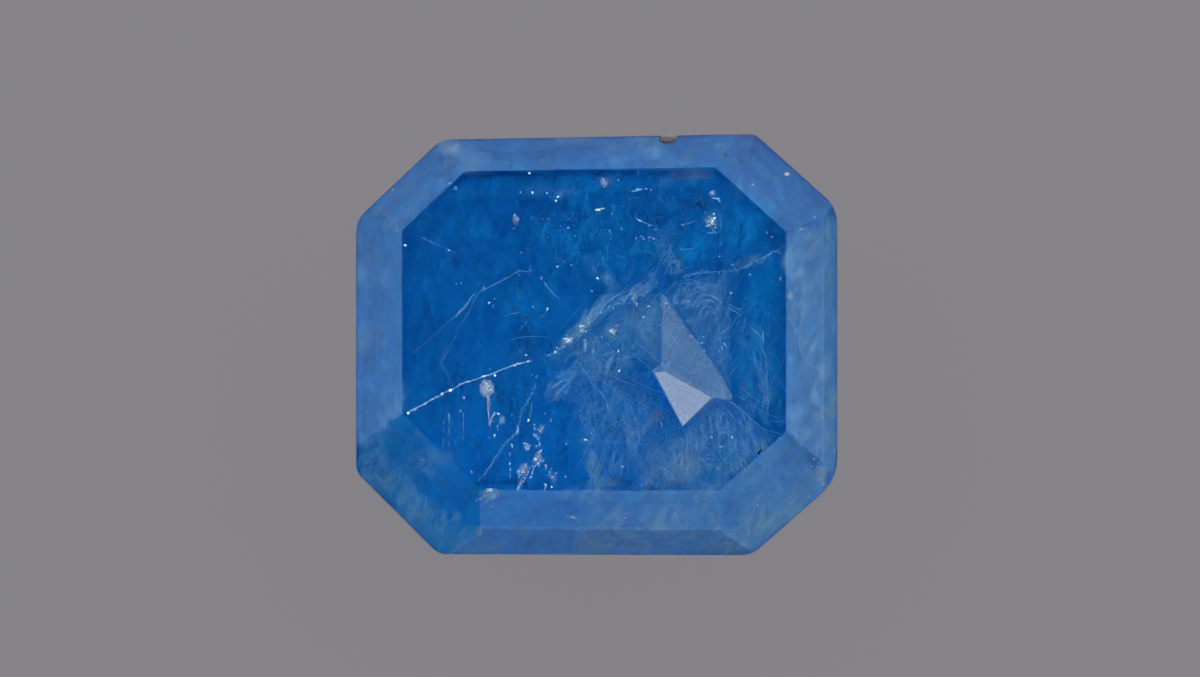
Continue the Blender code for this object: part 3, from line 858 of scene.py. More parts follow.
def crystals():
    """Single crystals, glints and pits, each where the photograph shows one."""
    tones = list(TONES)
    piece = Piece("crystals", *(grain_material(f"{tone}_crystal", TONES[tone], *GLOSS.get(tone, ())) for tone in tones))
    for tone, places in CRYSTALS.items():
        for x, y, width, height, turn in places:
            depth = CRYSTAL_DEPTH[tone] * RNG.uniform(0.7, 1.4)
            slot = tones.index(tone)
            if tone in GLOSS:
                # A bright crystal is a few plates of different sizes
                for size in (0.68, 0.42, 0.34):
                    dx, dy = RNG.gauss(0.0, 0.3 * width * (1.0 - size)), RNG.gauss(0.0, 0.4 * height * (1.0 - size))
                    lift = 0.02 * (1.0 - size)
                    add_plate(piece, x + dx, y + dy, depth - lift, size * width, size * height, turn, slot)
                continue
            radii = (0.42 * width * MM_PER_PIXEL, 0.42 * height * MM_PER_PIXEL, 0.3 * min(width, height) * MM_PER_PIXEL)
            add_grain(piece, inside(x, y, depth + radii[2]), radii, math.radians(turn), slot)
    for tone, width, depth, pixels in STROKES:
        add_stroke(piece, pixels, depth, width, tones.index(tone))
    for tone, x, y, spread_x, spread_y, count, least, most in SPARKLES:
        for _ in range(count):
            size = RNG.uniform(least, most)
            spot = x + RNG.gauss(0.0, spread_x), y + RNG.gauss(0.0, spread_y)
            add_plate(piece, *spot, RNG.uniform(0.08, 0.3), size, size * RNG.uniform(0.6, 1.4), RNG.uniform(0, 180), tones.index(tone))
    piece.finish()


def add_cloud(piece, x, y, half_length, half_width, heading, depth, strength=1.0, slot=0, sag=0.15):
    """An oval veil that is thickest in its middle, with its sizes in pixels."""
    way = math.radians(heading)
    along, across = Vector((math.cos(way), -math.sin(way))), Vector((math.sin(way), math.cos(way)))
    shift = RNG.uniform(0.0, 100.0)
    rings = 7
    spokes = 20
    points = []
    fades = []
    for ring in range(rings + 1):
        reach = ring / rings
        for spoke in range(spokes if ring else 1):
            turn = math.tau * spoke / spokes
            spot = Vector((x, y)) + along * (half_length * reach * math.cos(turn))
            spot += across * (half_width * reach * math.sin(turn))
            wave = noise.noise(Vector((spot.x / 30.0, spot.y / 30.0, shift)))
            points.append(inside(spot.x, spot.y, depth + sag * wave))
            fades.append(strength * (1.0 - reach**2) ** 1.3)
    faces = []
    for spoke in range(spokes):
        following = (spoke + 1) % spokes
        faces.append((0, 1 + following, 1 + spoke))
        for ring in range(1, rings):
            inner, outer = 1 + (ring - 1) * spokes, 1 + ring * spokes
            faces.append((inner + spoke, inner + following, outer + following, outer + spoke))
    add_sheet(piece, points, faces, fades, slot=slot)


def fractures():
    """The bright fracture across the table, the one below it, finer hairlines, and painted highlights along the
    pavilion's facet edges.
    """
    white = grain_material("fracture_edge", (0.72, 1.0, 0.94))
    face = veil_material("fracture_face", (0.55, 0.94, 0.97), 0.12, (0.03, 0.4))
    glint = grain_material("fracture_glint", (0.86, 1.0, 0.93), 0.3, 1.0)
    pale = grain_material("hairline_edge", (0.50, 0.86, 0.96))
    dim = grain_material("healed_edge", (0.26, 0.64, 0.92))
    main = Piece("main_fracture", white, face, glint, pale)
    for run in MAIN_CRACK[:2]:
        add_crack(main, run, 0.36, 0.9, 0.3, drop=0.8)
        strew(main, run, 2.8, (0.6, 1.6), 0.35, (0, 2, 2))
        strew(main, run, 1.6, (0.3, 0.9), 0.9, (2, 3))
    for run in MAIN_CRACK[2:]:
        add_crack(main, run, 0.22, 0.6, 0.6, slot=3, drop=0.5)
        strew(main, run, 2.6, (0.4, 1.1), 1.0, (0, 3, 3))
        strew(main, run, 0.9, (0.3, 0.7), 1.8, (3,))
    for x, y, width, height in MAIN_CRACK_KNOTS:
        add_plate(main, x, y, 0.18, 0.75 * width, 0.75 * height, 28.0, 2)
        add_plate(main, x + RNG.gauss(0, 1.0), y + RNG.gauss(0, 0.8), 0.17, 0.4 * width, 0.4 * height, 28.0, 0)
    main.finish()
    fine = Piece("hairlines", pale, dim, face, glint)
    for width, run in HAIRLINES:
        add_crack(fine, run, 0.25 * width, 0.4, 0.25, slot=0 if width > 1.0 else 1)
        strew(fine, run, 2.2, (0.25, 0.3 + 0.4 * width), 0.4, (0, 0, 1, 1, 1, 3))
    for run in SECOND_CRACK:
        add_crack(fine, run, 0.26, 0.5, 0.4, slot=1, drop=0.7, curtain_slot=2)
        strew(fine, run, 0.7, (0.35, 1.1), 1.0, (0, 0, 1))
    strew(fine, [(516.6, 434, 0.5), (517.8, 430.5, 0.5), (519, 427, 0.5)], 0.8, (0.7, 1.6), 0.5, (0, 3))
    add_crack(fine, RIGHT_VEIL_LINE, 0.3, 0.6, 0.6, slot=1, drop=0.5, curtain_slot=2)
    strew(fine, RIGHT_VEIL_LINE, 0.6, (0.3, 1.0), 1.1, (0, 1, 1))
    for x, heights in DASHES:
        for top, bottom in heights:
            add_stroke(fine, [(x, top), (x + 0.2, 0.5 * (top + bottom)), (x, bottom)], 0.3, 0.6, 1)
    fine.finish()
    # Bright threads along the pavilion's facet edges are painted highlights; the thinner ones use the hairline tone
    lit = grain_material("facet_edge_highlight", (0.85, 0.97, 1.0), 0.3, 0.5)
    edges = Piece("pavilion_edge_highlights", lit, pale)
    for width, run in PAVILION_LINES:
        add_crack(edges, run, 0.34 * width, 0.3, 0.2, slot=0 if width > 1.3 else 1)
    edges.finish()


SHARDS = (
    (541, 430, 4, 9, -25), (535, 427.5, 2.4, 6, -10), (537.4, 439, 2.4, 8, 30), (534, 433, 2, 6, 0), (539, 443, 2, 7, 20),
    (526, 444, 5, 2.4, 0), (527, 449, 4, 5, 25), (529, 446, 3, 3, 0), (524.6, 443, 4, 1.6, 0),
    (538, 456, 4.4, 12, -26), (535, 460.4, 3.4, 8, -28), (541.4, 461, 4.4, 3.6, 30), (538.6, 464, 3, 5, 0), (540.6, 452.4, 2.4, 6, -20),
    (526, 465, 4, 6, -20), (523, 472, 6, 6, -24), (529.6, 469, 2.4, 10, -22), (534, 468.6, 1.8, 10, -20), (519.6, 476, 3, 4, 0), (532, 474, 2, 7, -18),
    (521, 483, 2.4, 10, -24), (519, 488, 2, 5, -20), (524, 480, 1.6, 7, -24), (546, 466, 1.8, 4, 0), (536, 446.6, 1.6, 4, 0),
    (546, 485.6, 2, 3, 0), (553, 478, 3, 5, 20), (550, 472.6, 2, 4, -20), (556, 474, 2, 4, 10), (544.6, 488.6, 2, 2, 0),
    (510, 462, 1.2, 4, 0), (510.2, 469, 1.2, 4, 0), (510, 475.4, 1.4, 4.4, 0), (511.8, 445.6, 2, 3, 20),
    (498, 427, 1.6, 4, 20), (494, 414.6, 3, 5, -24), (492, 419.4, 4, 6, -20),
)


def shards():
    """The cluster of upright broken plates left of the middle, pinkish white."""
    tones = {"pale": (0.80, 0.97, 0.98), "rose": (0.78, 0.82, 1.0), "ice": (0.40, 0.72, 1.0)}
    piece = Piece("shard_cluster", *(grain_material(f"{tone}_shard", colour, 0.4, 0.3) for tone, colour in tones.items()))
    for x, y, width, height, turn in SHARDS:
        way = math.radians(turn)
        for _ in range(3 + round(width * height / 4)):
            across, along = RNG.gauss(0.0, 0.26 * width), RNG.gauss(0.0, 0.30 * height)
            spot = x + across * math.cos(way) - along * math.sin(way), y - across * math.sin(way) - along * math.cos(way)
            size = RNG.uniform(0.4, 1.3)
            long = size * RNG.uniform(0.9, 2.2)
            add_plate(piece, *spot, RNG.uniform(0.12, 0.4), size, long, turn + RNG.gauss(0, 20), RNG.choice((0, 0, 1, 2)))
    piece.finish()


# Regions of fine curved fibres: outline, how many, length and width in pixels, heading and its
# spread in degrees, depth range in millimetres
MIDDLE = [(545, 345), (575, 335), (600, 310), (640, 285), (690, 270), (735, 285), (732, 380), (700, 420), (640, 440), (580, 445), (548, 400)]
LOWER_RIGHT = [(600, 440), (650, 425), (690, 405), (735, 400), (783, 435), (780, 490), (730, 540), (640, 530), (600, 490)]
UPPER_MIDDLE = [(560, 180), (600, 172), (680, 175), (735, 215), (735, 275), (640, 290), (560, 270), (530, 230), (540, 195)]
LEFT_FIELD = [(405, 235), (468, 175), (560, 180), (560, 300), (520, 380), (480, 480), (410, 410)]
RIGHT_BAND = [(732, 265), (783, 250), (783, 430), (745, 410), (732, 390)]
LOWER_LEFT = [(410, 415), (480, 395), (545, 385), (600, 420), (600, 488), (485, 488)]


def in_region(outline):
    """A random pixel inside an outline."""
    xs, ys = [x for x, _ in outline], [y for _, y in outline]
    while True:
        x, y = RNG.uniform(min(xs), max(xs)), RNG.uniform(min(ys), max(ys))
        if in_outline(x, y, outline):
            return x, y


def add_fibres(piece, outline, count, length, width, heading, spread, depths, slot=0):
    """Fine fibres scattered through a region, each on its own gentle curve."""
    for _ in range(count):
        x, y = in_region(outline)
        depth = RNG.uniform(*depths)
        way = math.radians(heading + RNG.gauss(0.0, spread))
        turn = math.radians(RNG.gauss(0.0, 4.0))
        steps = 7
        stride = length * RNG.uniform(0.4, 1.5) / steps
        path = []
        for _ in range(steps + 1):
            path.append(inside(x, y, depth))
            x += math.cos(way) * stride
            y -= math.sin(way) * stride
            way += turn + math.radians(RNG.gauss(0.0, 3.0))
            depth += RNG.gauss(0.0, 0.02)
        thick = 0.5 * width * MM_PER_PIXEL * RNG.uniform(0.5, 1.4)
        radii = [max(THINNEST, thick * math.sin(math.pi * (place + 0.6) / (steps + 1.2))) for place in range(steps + 1)]
        add_thread(piece, path, radii, 4, slot)


# Threads that run together: their guide line and depths, how many, and how far they spread
FLOWS = (
    ([(578, 340, 1.0), (592, 356, 1.0), (608, 376, 1.0), (622, 394, 1.0), (632, 418, 1.0), (636, 450, 0.9), (634, 486, 0.6)], 44, 6),
    ([(566, 366, 0.9), (580, 378, 0.9), (594, 396, 0.9), (603, 420, 0.9), (604, 450, 0.8), (598, 484, 0.6)], 34, 5),
    ([(600, 340, 1.2), (622, 352, 1.2), (640, 372, 1.2), (652, 400, 1.2), (660, 430, 1.1), (664, 484, 0.7)], 26, 7),
    ([(745, 300, 1.0), (756, 322, 1.0), (764, 350, 1.0), (770, 386, 1.0), (776, 430, 0.8)], 26, 7),
    ([(731, 399, 1.2), (744, 420, 1.2), (754, 440, 1.1), (764, 462, 0.9), (772, 486, 0.7)], 26, 5),
    ([(703, 430, 1.0), (714, 450, 1.0), (724, 472, 0.8), (736, 500, 0.5), (752, 530, 0.2)], 34, 8),
    ([(676, 430, 1.0), (668, 450, 0.9), (650, 468, 0.8), (640, 490, 0.6)], 18, 6),
    ([(560, 345, 0.7), (580, 322, 0.7), (602, 302, 0.7), (628, 288, 0.7), (655, 270, 0.7), (668, 245, 0.7)], 46, 5),
    ([(790, 300, 0.2), (797, 335, 0.2), (806, 370, 0.2), (822, 400, 0.2)], 14, 6),
)


def add_flow(piece, guide, count, spread, slot=0):
    """Fine threads that drift together along a guide, each over its own part of it."""
    path = smooth_path(guide, 5.0)
    for _ in range(count):
        first = RNG.randrange(len(path) - 4)
        part = path[first:first + RNG.randint(4, 12)]
        dx, dy = RNG.gauss(0.0, 1.3 * spread), RNG.gauss(0.0, 1.3 * spread)
        fan, twist = RNG.gauss(0.0, 0.25 * spread), RNG.gauss(0.0, 0.04 * spread)
        run = []
        for place, (x, y, depth) in enumerate(part):
            sideways = fan * place + twist * place**2
            x += dx + sideways + RNG.gauss(0.0, 0.45)
            y += dy - 0.6 * sideways + RNG.gauss(0.0, 0.45)
            run.append(inside(x, y, depth + RNG.uniform(-0.03, 0.03)))
        last = len(run)
        thick = 0.5 * MM_PER_PIXEL * RNG.uniform(0.10, 0.34)
        radii = [max(THINNEST, thick * math.sin(math.pi * (place + 0.6) / (last + 0.2))) for place in range(last)]
        add_thread(piece, run, radii, 4, slot)


def silk():
    """The fine fibres and needles that cloud the middle and the lower right."""
    pale = grain_material("silk_pale", (0.26, 0.58, 0.95))
    blue = grain_material("silk_blue", (0.03, 0.44, 0.88))
    piece = Piece("silk", pale, blue)
    for guide, count, spread in FLOWS:
        add_flow(piece, guide, count // 2, spread)
    add_fibres(piece, MIDDLE, 260, 26, 0.20, 50, 35, (0.5, 2.2), 0)
    add_fibres(piece, LOWER_RIGHT, 300, 28, 0.20, 105, 32, (0.4, 1.6), 0)
    add_fibres(piece, UPPER_MIDDLE, 90, 14, 0.20, 70, 50, (0.4, 1.4), 0)
    add_fibres(piece, RIGHT_BAND, 18, 22, 0.20, 92, 20, (0.5, 1.4), 0)
    add_fibres(piece, LEFT_FIELD, 90, 24, 0.28, 85, 20, (0.6, 2.0), 1)
    add_fibres(piece, LOWER_LEFT, 50, 20, 0.22, 85, 20, (0.5, 1.4), 1)
    piece.finish()


def add_dust(piece, outline, count, sizes, depths, slots):
    """Pinpoint crystals scattered through a region."""
    for _ in range(count):
        x, y = in_region(outline)
        radius = 0.5 * RNG.uniform(*sizes) * MM_PER_PIXEL
        add_grain(piece, inside(x, y, RNG.uniform(*depths)), (radius, radius, radius), slot=RNG.choice(slots))


def dust():
    """Pinpoints all through the stone."""
    pale = grain_material("pale_pinpoint", (0.50, 0.78, 1.0))
    blue = grain_material("blue_pinpoint", (0.06, 0.50, 0.95))
    piece = Piece("pinpoints", pale, blue)
    add_dust(piece, MIDDLE, 520, (0.35, 0.9), (0.3, 2.0), (0, 0, 1))
    add_dust(piece, LOWER_RIGHT, 620, (0.35, 0.9), (0.2, 1.6), (0, 0, 1))
    add_dust(piece, UPPER_MIDDLE, 520, (0.35, 0.9), (0.2, 1.4), (0, 0, 1))
    add_dust(piece, LEFT_FIELD, 300, (0.35, 0.8), (0.3, 1.6), (0, 1, 1))
    add_dust(piece, LOWER_LEFT, 260, (0.35, 0.8), (0.2, 1.4), (0, 0, 1))
    add_dust(piece, RIGHT_BAND, 160, (0.35, 0.8), (0.3, 1.4), (0, 1))
    piece.finish()


# The middle of the facet beside the culet whose light is painted in as a pale frosted finish
WINDOW_MIDDLE = (683.0, 398.0)

# Wide thin haze: outline, depth in millimetres, how far it fades in pixels, its wisps and density
HAZE = (
    ([(664, 290), (640, 297), (624, 318), (632, 345), (650, 372), (683, 427), (664, 440), (640, 452), (628, 489), (783, 489),
      (784, 445), (760, 425), (731, 392), (731, 284), (700, 279), (676, 280)], 1.4, 10.0, "soft", 0.45),
    ([(552, 356), (575, 335), (600, 345), (624, 345), (645, 372), (672, 425), (645, 440), (636, 460), (628, 489), (606, 480),
      (590, 448), (574, 425), (562, 400)], 1.3, 12.0, "web", 0.45),
    ([(578, 345), (600, 322), (640, 300), (662, 300), (662, 371), (640, 352), (618, 345), (596, 352)], 1.0, 10.0, "soft", 0.65),
    ([(640, 452), (683, 427), (720, 400), (745, 412), (782, 440), (782, 488), (640, 488)], 0.8, 10.0, "falling", 0.35),
    ([(732, 290), (782, 330), (782, 430), (745, 405), (733, 385)], 0.9, 12.0, "web", 0.14),
    ([(640, 492), (717, 492), (752, 545), (690, 552), (620, 548)], 0.18, 16.0, "web", 0.6),
    ([(719, 492), (784, 436), (834, 478), (762, 550), (745, 552)], 0.18, 8.0, "falling", 0.7),
    ([(362, 458), (384, 446), (414, 478), (466, 526), (452, 556), (362, 478)], 0.18, 8.0, "web", 0.7),
    ([(786, 234), (835, 224), (835, 478), (786, 432)], 0.18, 5.0, "web", 0.5),
    ([(716, 169), (735, 136), (835, 215), (785, 232)], 0.18, 6.0, "web", 0.3),
    ([(440, 139), (466, 168), (403, 230), (360, 210), (400, 165)], 0.18, 6.0, "web", 0.35),
)
# The facet beside the culet, whose light a pale sheet paints in
WINDOW = [(653.3, 371.2), (664.5, 371), (713, 397.6), (682.6, 427)]

# Milky halos round the brightest spots, partly white inclusions and partly painted glow round the glints: middle, half
# sizes in pixels, depth and density
HALOS = (
    (486.6, 388.4, 8, 10.5, 0.24, 0.95), (488.6, 405.0, 2.2, 13, 0.24, 0.5), (491.0, 494.0, 9, 6.5, 0.22, 1.0),
    (711.0, 221.5, 7, 7, 0.22, 0.35), (712.0, 193.5, 4, 3.5, 0.2, 0.25), (582.5, 328.5, 5, 5, 0.26, 0.3), (566.5, 341.0, 6, 5, 0.28, 0.3),
    (604.0, 182.0, 6, 6, 0.4, 0.2), (516.0, 220.0, 4, 6, 0.3, 0.35), (787.0, 174.0, 4, 3, 0.1, 0.7), (790.4, 296.0, 4, 5, 0.12, 0.9),
    (573.0, 517.0, 6, 3, 0.12, 0.8), (585.0, 345.0, 3.5, 7, 0.5, 0.25), (612.0, 331.0, 5, 4, 0.3, 0.2), (527.0, 446.0, 4, 4, 0.3, 0.3),
    (538.0, 458.0, 5, 8, 0.3, 0.4), (524.0, 470.0, 6, 8, 0.3, 0.4), (541.0, 430.0, 4, 6, 0.3, 0.2), (520.0, 484.0, 3, 6, 0.3, 0.25),
    (502.0, 420.0, 4, 5, 0.3, 0.3), (553.0, 478.0, 5, 6, 0.3, 0.15), (634.0, 297.0, 4, 5, 0.26, 0.2), (807.0, 236.0, 5, 7, 0.1, 0.2),
    (820.0, 474.0, 8, 10, 0.1, 0.4), (480.0, 533.0, 4, 4, 0.12, 0.8), (694.0, 175.0, 24, 8, 0.06, 0.06), (450.0, 147.0, 14, 9, 0.08, 0.12),
)

PALE_WEDGE = [
    (661, 293), (664, 294.6), (679, 317), (694.5, 338), (708, 357), (720.4, 374), (727, 386), (733, 397), (730, 401), (713, 398.5),
    (664, 372), (661, 370),
]
LEFT_OF_WEDGE = [(663, 293), (663, 372), (650, 368), (634, 352), (618, 345), (604, 338), (606, 318), (620, 303), (640, 291)]
RIGHT_OF_WEDGE = [(664, 292), (672, 283), (690, 277), (732, 283), (732, 393), (721, 373), (709, 356), (680, 316)]

# Pale corners and chips: outline and depth in millimetres
CHIPS = (
        ([(437, 139), (452, 135), (468, 148), (464, 160), (448, 158), (436, 150)], 0.06),
    ([(716, 133), (745, 133), (762, 147), (750, 148), (738, 141), (722, 141)], 0.05),
    ([(399, 232), (404, 230), (404, 246), (400, 250)], 0.06),
)

# Each cloud: its middle, half its length and width in pixels, its heading in degrees, how deep it
# lies in millimetres, how dense it is, and which way its wisps run
CLOUDS = (
    (588, 321, 44, 12, 48, 0.9, 1.0, "rising"), (600, 308, 26, 9, 50, 0.7, 0.9, "rising"), (566, 345, 26, 8, 42, 0.7, 0.6, "rising"),
    (576, 334, 30, 7, 46, 0.6, 0.9, "rising"), (626, 296, 26, 9, 38, 0.6, 0.8, "rising"), (648, 284, 22, 10, 50, 0.7, 0.7, "rising"),
    (526, 354, 18, 9, 10, 0.8, 0.5, "rising"), (612, 360, 46, 22, 30, 1.0, 0.5, "rising"), (596, 345, 36, 16, 45, 1.2, 0.5, "rising"),
    (560, 386, 22, 13, 50, 0.9, 0.8, "rising"), (552, 392, 12, 8, 60, 0.6, 0.5, "rising"), (590, 447, 36, 12, 96, 0.9, 1.0, "falling"),
    (594, 470, 20, 9, 100, 0.7, 0.5, "falling"), (636, 440, 50, 14, 105, 1.0, 0.6, "falling"), (670, 478, 44, 18, 30, 0.8, 0.7, "falling"),
    (684, 450, 30, 24, 60, 1.2, 0.5, "falling"), (708, 415, 26, 14, 120, 1.0, 0.6, "falling"), (745, 470, 34, 18, 110, 0.8, 0.5, "falling"),
    (766, 452, 24, 12, 130, 0.5, 0.6, "falling"), (770, 500, 30, 20, 40, 0.3, 0.6, "falling"), (752, 530, 34, 14, 40, 0.22, 0.9, "falling"),
    (735, 545, 40, 8, 2, 0.22, 0.8, "falling"), (663, 238, 20, 12, 90, 0.8, 0.4, "rising"), (672, 262, 18, 12, 120, 0.8, 0.5, "rising"),
    (598, 268, 24, 7, 140, 0.6, 0.7, "falling"), (606, 280, 20, 7, 150, 0.7, 0.5, "falling"), (748, 263, 22, 9, 20, 0.5, 0.6, "rising"),
    (700, 283, 34, 10, 5, 0.6, 0.6, "web"), (712, 300, 20, 16, 90, 0.8, 0.5, "web"), (606, 180, 12, 8, 0, 0.5, 0.4, "web"),
    (537, 189, 16, 7, 10, 0.5, 0.4, "web"), (562, 194, 14, 6, 20, 0.5, 0.4, "web"), (597, 210, 16, 7, 10, 0.5, 0.3, "web"),
    (668, 180, 12, 6, 30, 0.4, 0.5, "web"), (712, 220, 12, 12, 90, 0.3, 0.6, "web"), (764, 385, 10, 40, 5, 0.6, 0.5, "upright"),
    (745, 400, 8, 26, 10, 0.6, 0.4, "upright"), (462, 420, 5, 20, 0, 0.5, 0.35, "upright"), (448, 425, 5, 18, 0, 0.5, 0.35, "upright"),
    (425, 468, 46, 8, -42, 0.22, 0.9, "web"), (400, 478, 40, 12, -48, 0.22, 0.6, "web"), (425, 512, 50, 12, -42, 0.22, 0.6, "web"),
)


def veils():
    """Clouded sheets: healed fractures, milky zones, the pale wedge beside the lowest facets, a pale sheet that paints
    in the window facet's light, and halos that are partly painted glow.
    """
    tone = (0.52, 0.90, 1.0)
    ways = {
        "rising": veil_material("rising_veil", tone, 0.14, (0.04, 0.40), 3.6, 48.0, web=1.5),
        "falling": veil_material("falling_veil", tone, 0.14, (0.04, 0.36), 3.0, 104.0, web=1.5),
        "upright": veil_material("upright_veil", tone, 0.12, (0.02, 0.36), 4.0, 90.0, web=1.5),
        "web": veil_material("web_veil", tone, 0.16, (0.03, 0.30), 3.0, 60.0, 0.5, 0.35, 1.6),
        "soft": veil_material("soft_veil", tone, 0.14, (0.06, 0.20), 1.8, 100.0, 0.6, 0.4),
        "even": veil_material("even_veil", (0.66, 0.84, 1.0), 0.40, (0.26, 0.38), 2.0, 60.0, 1.4, 0.9),
        # A nearly opaque pale sheet over the window facet: painted light
        "window_light": veil_material("window_light_veil", (0.80, 0.86, 1.0), 0.03, (0.78, 0.92), 1.0, 0.0, 1.0, 0.95),
        # Halos: partly white inclusions, partly painted glow round the glints
        "drop": veil_material("milky_drop_and_glow", (0.86, 0.97, 1.0), 0.04, (0.78, 0.96), 1.0, 0.0, 1.0, 0.9),
        "white": veil_material("white_veil", (0.80, 0.95, 1.0), 0.05, (0.10, 0.75)),
    }
    kinds = list(ways)
    piece = Piece("veils", *ways.values())
    add_veil(piece, PALE_WEDGE, 1.5, 0.8, 2.0, 0.02, kinds.index("even"))
    add_veil(piece, LEFT_OF_WEDGE, 1.7, 2.5, 3.0, 0.1, kinds.index("soft"), 0.8)
    add_veil(piece, RIGHT_OF_WEDGE, 1.3, 2.5, 3.0, 0.1, kinds.index("web"), 0.4)
    # Pale sheet over the window facet, painting in its light
    add_veil(piece, WINDOW, 0.5, 0.6, 1.5, 0.0, kinds.index("window_light"))
    for outline, depth in CHIPS:
        add_veil(piece, outline, depth, 4.0, 1.5, 0.0, kinds.index("even"), 0.22)
    for outline, depth, feather, way, strength in HAZE:
        sag = 0.25 if depth > 0.5 else 0.01
        add_veil(piece, outline, depth, feather, 5.0, sag, kinds.index(way), strength)
    for x, y, half_length, half_width, depth, strength in HALOS:
        add_cloud(piece, x, y, half_length, half_width, 0.0, depth, strength, kinds.index("drop"), 0.02)
    for x, y, half_length, half_width, heading, depth, strength, way in CLOUDS:
        sag = 0.15 if depth > 0.3 else 0.01
        add_cloud(piece, x, y, half_length, half_width, heading, depth, strength, kinds.index(way), sag)
    piece.finish(smooth=True)


# Corners of the table, and of a ring just outside the girdle, clockwise from the left
TABLE = [(402.5, 231), (468, 169.5), (717, 170.5), (786, 233), (785, 432), (719, 490), (480, 490), (403, 413)]
RIM = [(352, 208), (434, 132), (744, 128), (842, 214), (842, 484), (758, 562), (437, 562), (352, 474)]
# How dense the azure sheet is under each crown facet: partly milk, partly painted light that differs from side to side
CROWN_DENSITY = (0.7, 0.7, 0.6, 0.9, 1.0, 1.0, 0.8, 1.0)
# More sheets under the crown, partly milk and partly painted light: which, how dense, how far it fades in pixels, and
# its outline
CROWN_MILK_AND_LIGHT = (
    ("azure", 1.0, 1.5, [(820, 216), (842, 214), (842, 484), (820, 468)]),
    ("azure", 0.4, 1.5, [(462, 524), (742, 524), (758, 562), (437, 562)]),
    ("azure", 0.8, 10.0, [(722, 490), (785, 434), (842, 484), (758, 562)]),
    ("pale", 0.35, 4.0, [(786, 233), (842, 214), (842, 484), (785, 432)]),
    ("pale", 0.5, 14.0, [(796, 225), (842, 214), (842, 484), (796, 446)]),
    ("pale", 0.7, 3.0, [(820, 216), (842, 214), (842, 484), (820, 468)]),
    ("pale", 0.7, 5.0, [(462, 524), (742, 524), (758, 562), (437, 562)]),
    ("pale", 0.5, 14.0, [(722, 490), (785, 434), (842, 484), (758, 562)]),
    ("pale", 0.9, 20.0, [(752, 500), (842, 484), (758, 562), (680, 562), (720, 530)]),
    ("pale", 0.9, 20.0, [(580, 490), (719, 490), (758, 562), (560, 562)]),
    ("pale", 0.6, 12.0, [(352, 430), (378, 436), (418, 486), (446, 522), (470, 562), (437, 562), (352, 474)]),
)
BLEMISHES = 260

def crown_milk_and_painted_light():
    """Thin patches just under the crown's facets: partly the stone's milk, partly painted light that lightens the
    crown.
    """
    azure = veil_material("azure_milk_and_light", (0.01, 0.48, 1.0), 0.30, (0.16, 0.34), 1.6, 80.0, 1.0, 0.7)
    pale = veil_material("pale_milk_and_light", (0.40, 0.80, 1.0), 0.20, (0.05, 0.30), 1.8, 60.0, 0.8, 0.5)
    piece = Piece("crown_milk_and_painted_light", azure, pale)
    for side, density in enumerate(CROWN_DENSITY):
        following = (side + 1) % len(TABLE)
        # Each side's density differs as the light on it does: painted light
        add_veil(piece, [RIM[side], TABLE[side], TABLE[following], RIM[following]], 0.10, 0.0, 3.0, 0.015, 0, density)
    for kind, strength, feather, outline in CROWN_MILK_AND_LIGHT:
        depth, slot = (0.13, 0) if kind == "azure" else (0.06, 1)
        add_veil(piece, outline, depth, feather, 4.0, 0.01, slot, strength)
    for number in range(BLEMISHES):
        x, y = in_region(RIM)
        if in_outline(x, y, TABLE):
            continue
        half_length = RNG.uniform(2.0, 12.0) if number % 2 else RNG.uniform(14.0, 34.0)
        half_width = half_length * RNG.uniform(0.25, 0.6)
        # The larger ones lie along the stone's sides
        heading = RNG.uniform(0, 180) if number % 2 else RNG.gauss(90, 20) if abs(x - MIDDLE_X) > 190 else RNG.gauss(0, 20)
        add_cloud(piece, x, y, half_length, half_width, heading, 0.04, RNG.uniform(0.3, 1.0), 1, 0.0)
    piece.finish(smooth=True)


KEPT_CLEAR = [(640, 275), (735, 275), (745, 410), (690, 445), (640, 390)]
MOTTLED = [(404, 232), (468, 171), (716, 171), (784, 233), (784, 430), (735, 480), (700, 489), (482, 489), (404, 412)]


# Patches that show clearly: middle, half length and width in pixels, and whether azure or deep
TINTS = (
    (742, 232, 26, 34, 0), (752, 222, 16, 22, 0), (690, 248, 18, 30, 0), (560, 240, 26, 42, 0), (600, 225, 22, 30, 0), (520, 300, 24, 30, 0),
    (470, 225, 22, 30, 0), (446, 265, 20, 7, 0), (428, 283, 22, 7, 0), (502, 267, 14, 10, 0), (758, 300, 30, 16, 0), (756, 350, 34, 16, 0),
    (425, 330, 40, 16, 1), (448, 380, 26, 18, 1), (455, 262, 14, 14, 1), (430, 300, 20, 12, 1), (515, 400, 30, 20, 1), (560, 450, 24, 10, 1),
    (620, 482, 8, 24, 1), (655, 218, 16, 20, 1), (690, 195, 16, 20, 1),
)


# Azure haze in the table: how dense, how far it fades in pixels, and its outline
AZURE_FIELDS = (
    (0.9, 8.0, [(733, 285), (783, 236), (783, 440), (760, 425), (733, 398)]),
    (0.7, 16.0, [(560, 174), (716, 172), (783, 234), (783, 272), (690, 270), (640, 285), (600, 305), (570, 290), (548, 240)]),
    (0.8, 14.0, [(640, 440), (735, 405), (783, 438), (783, 486), (640, 486)]),
)


# Haze along the back edge of the table, where the deep haze is thin
BEHIND_THE_EDGE = [(462, 175), (468, 170), (716, 171), (722, 178), (722, 190), (640, 196), (560, 202), (476, 204), (440, 206)]


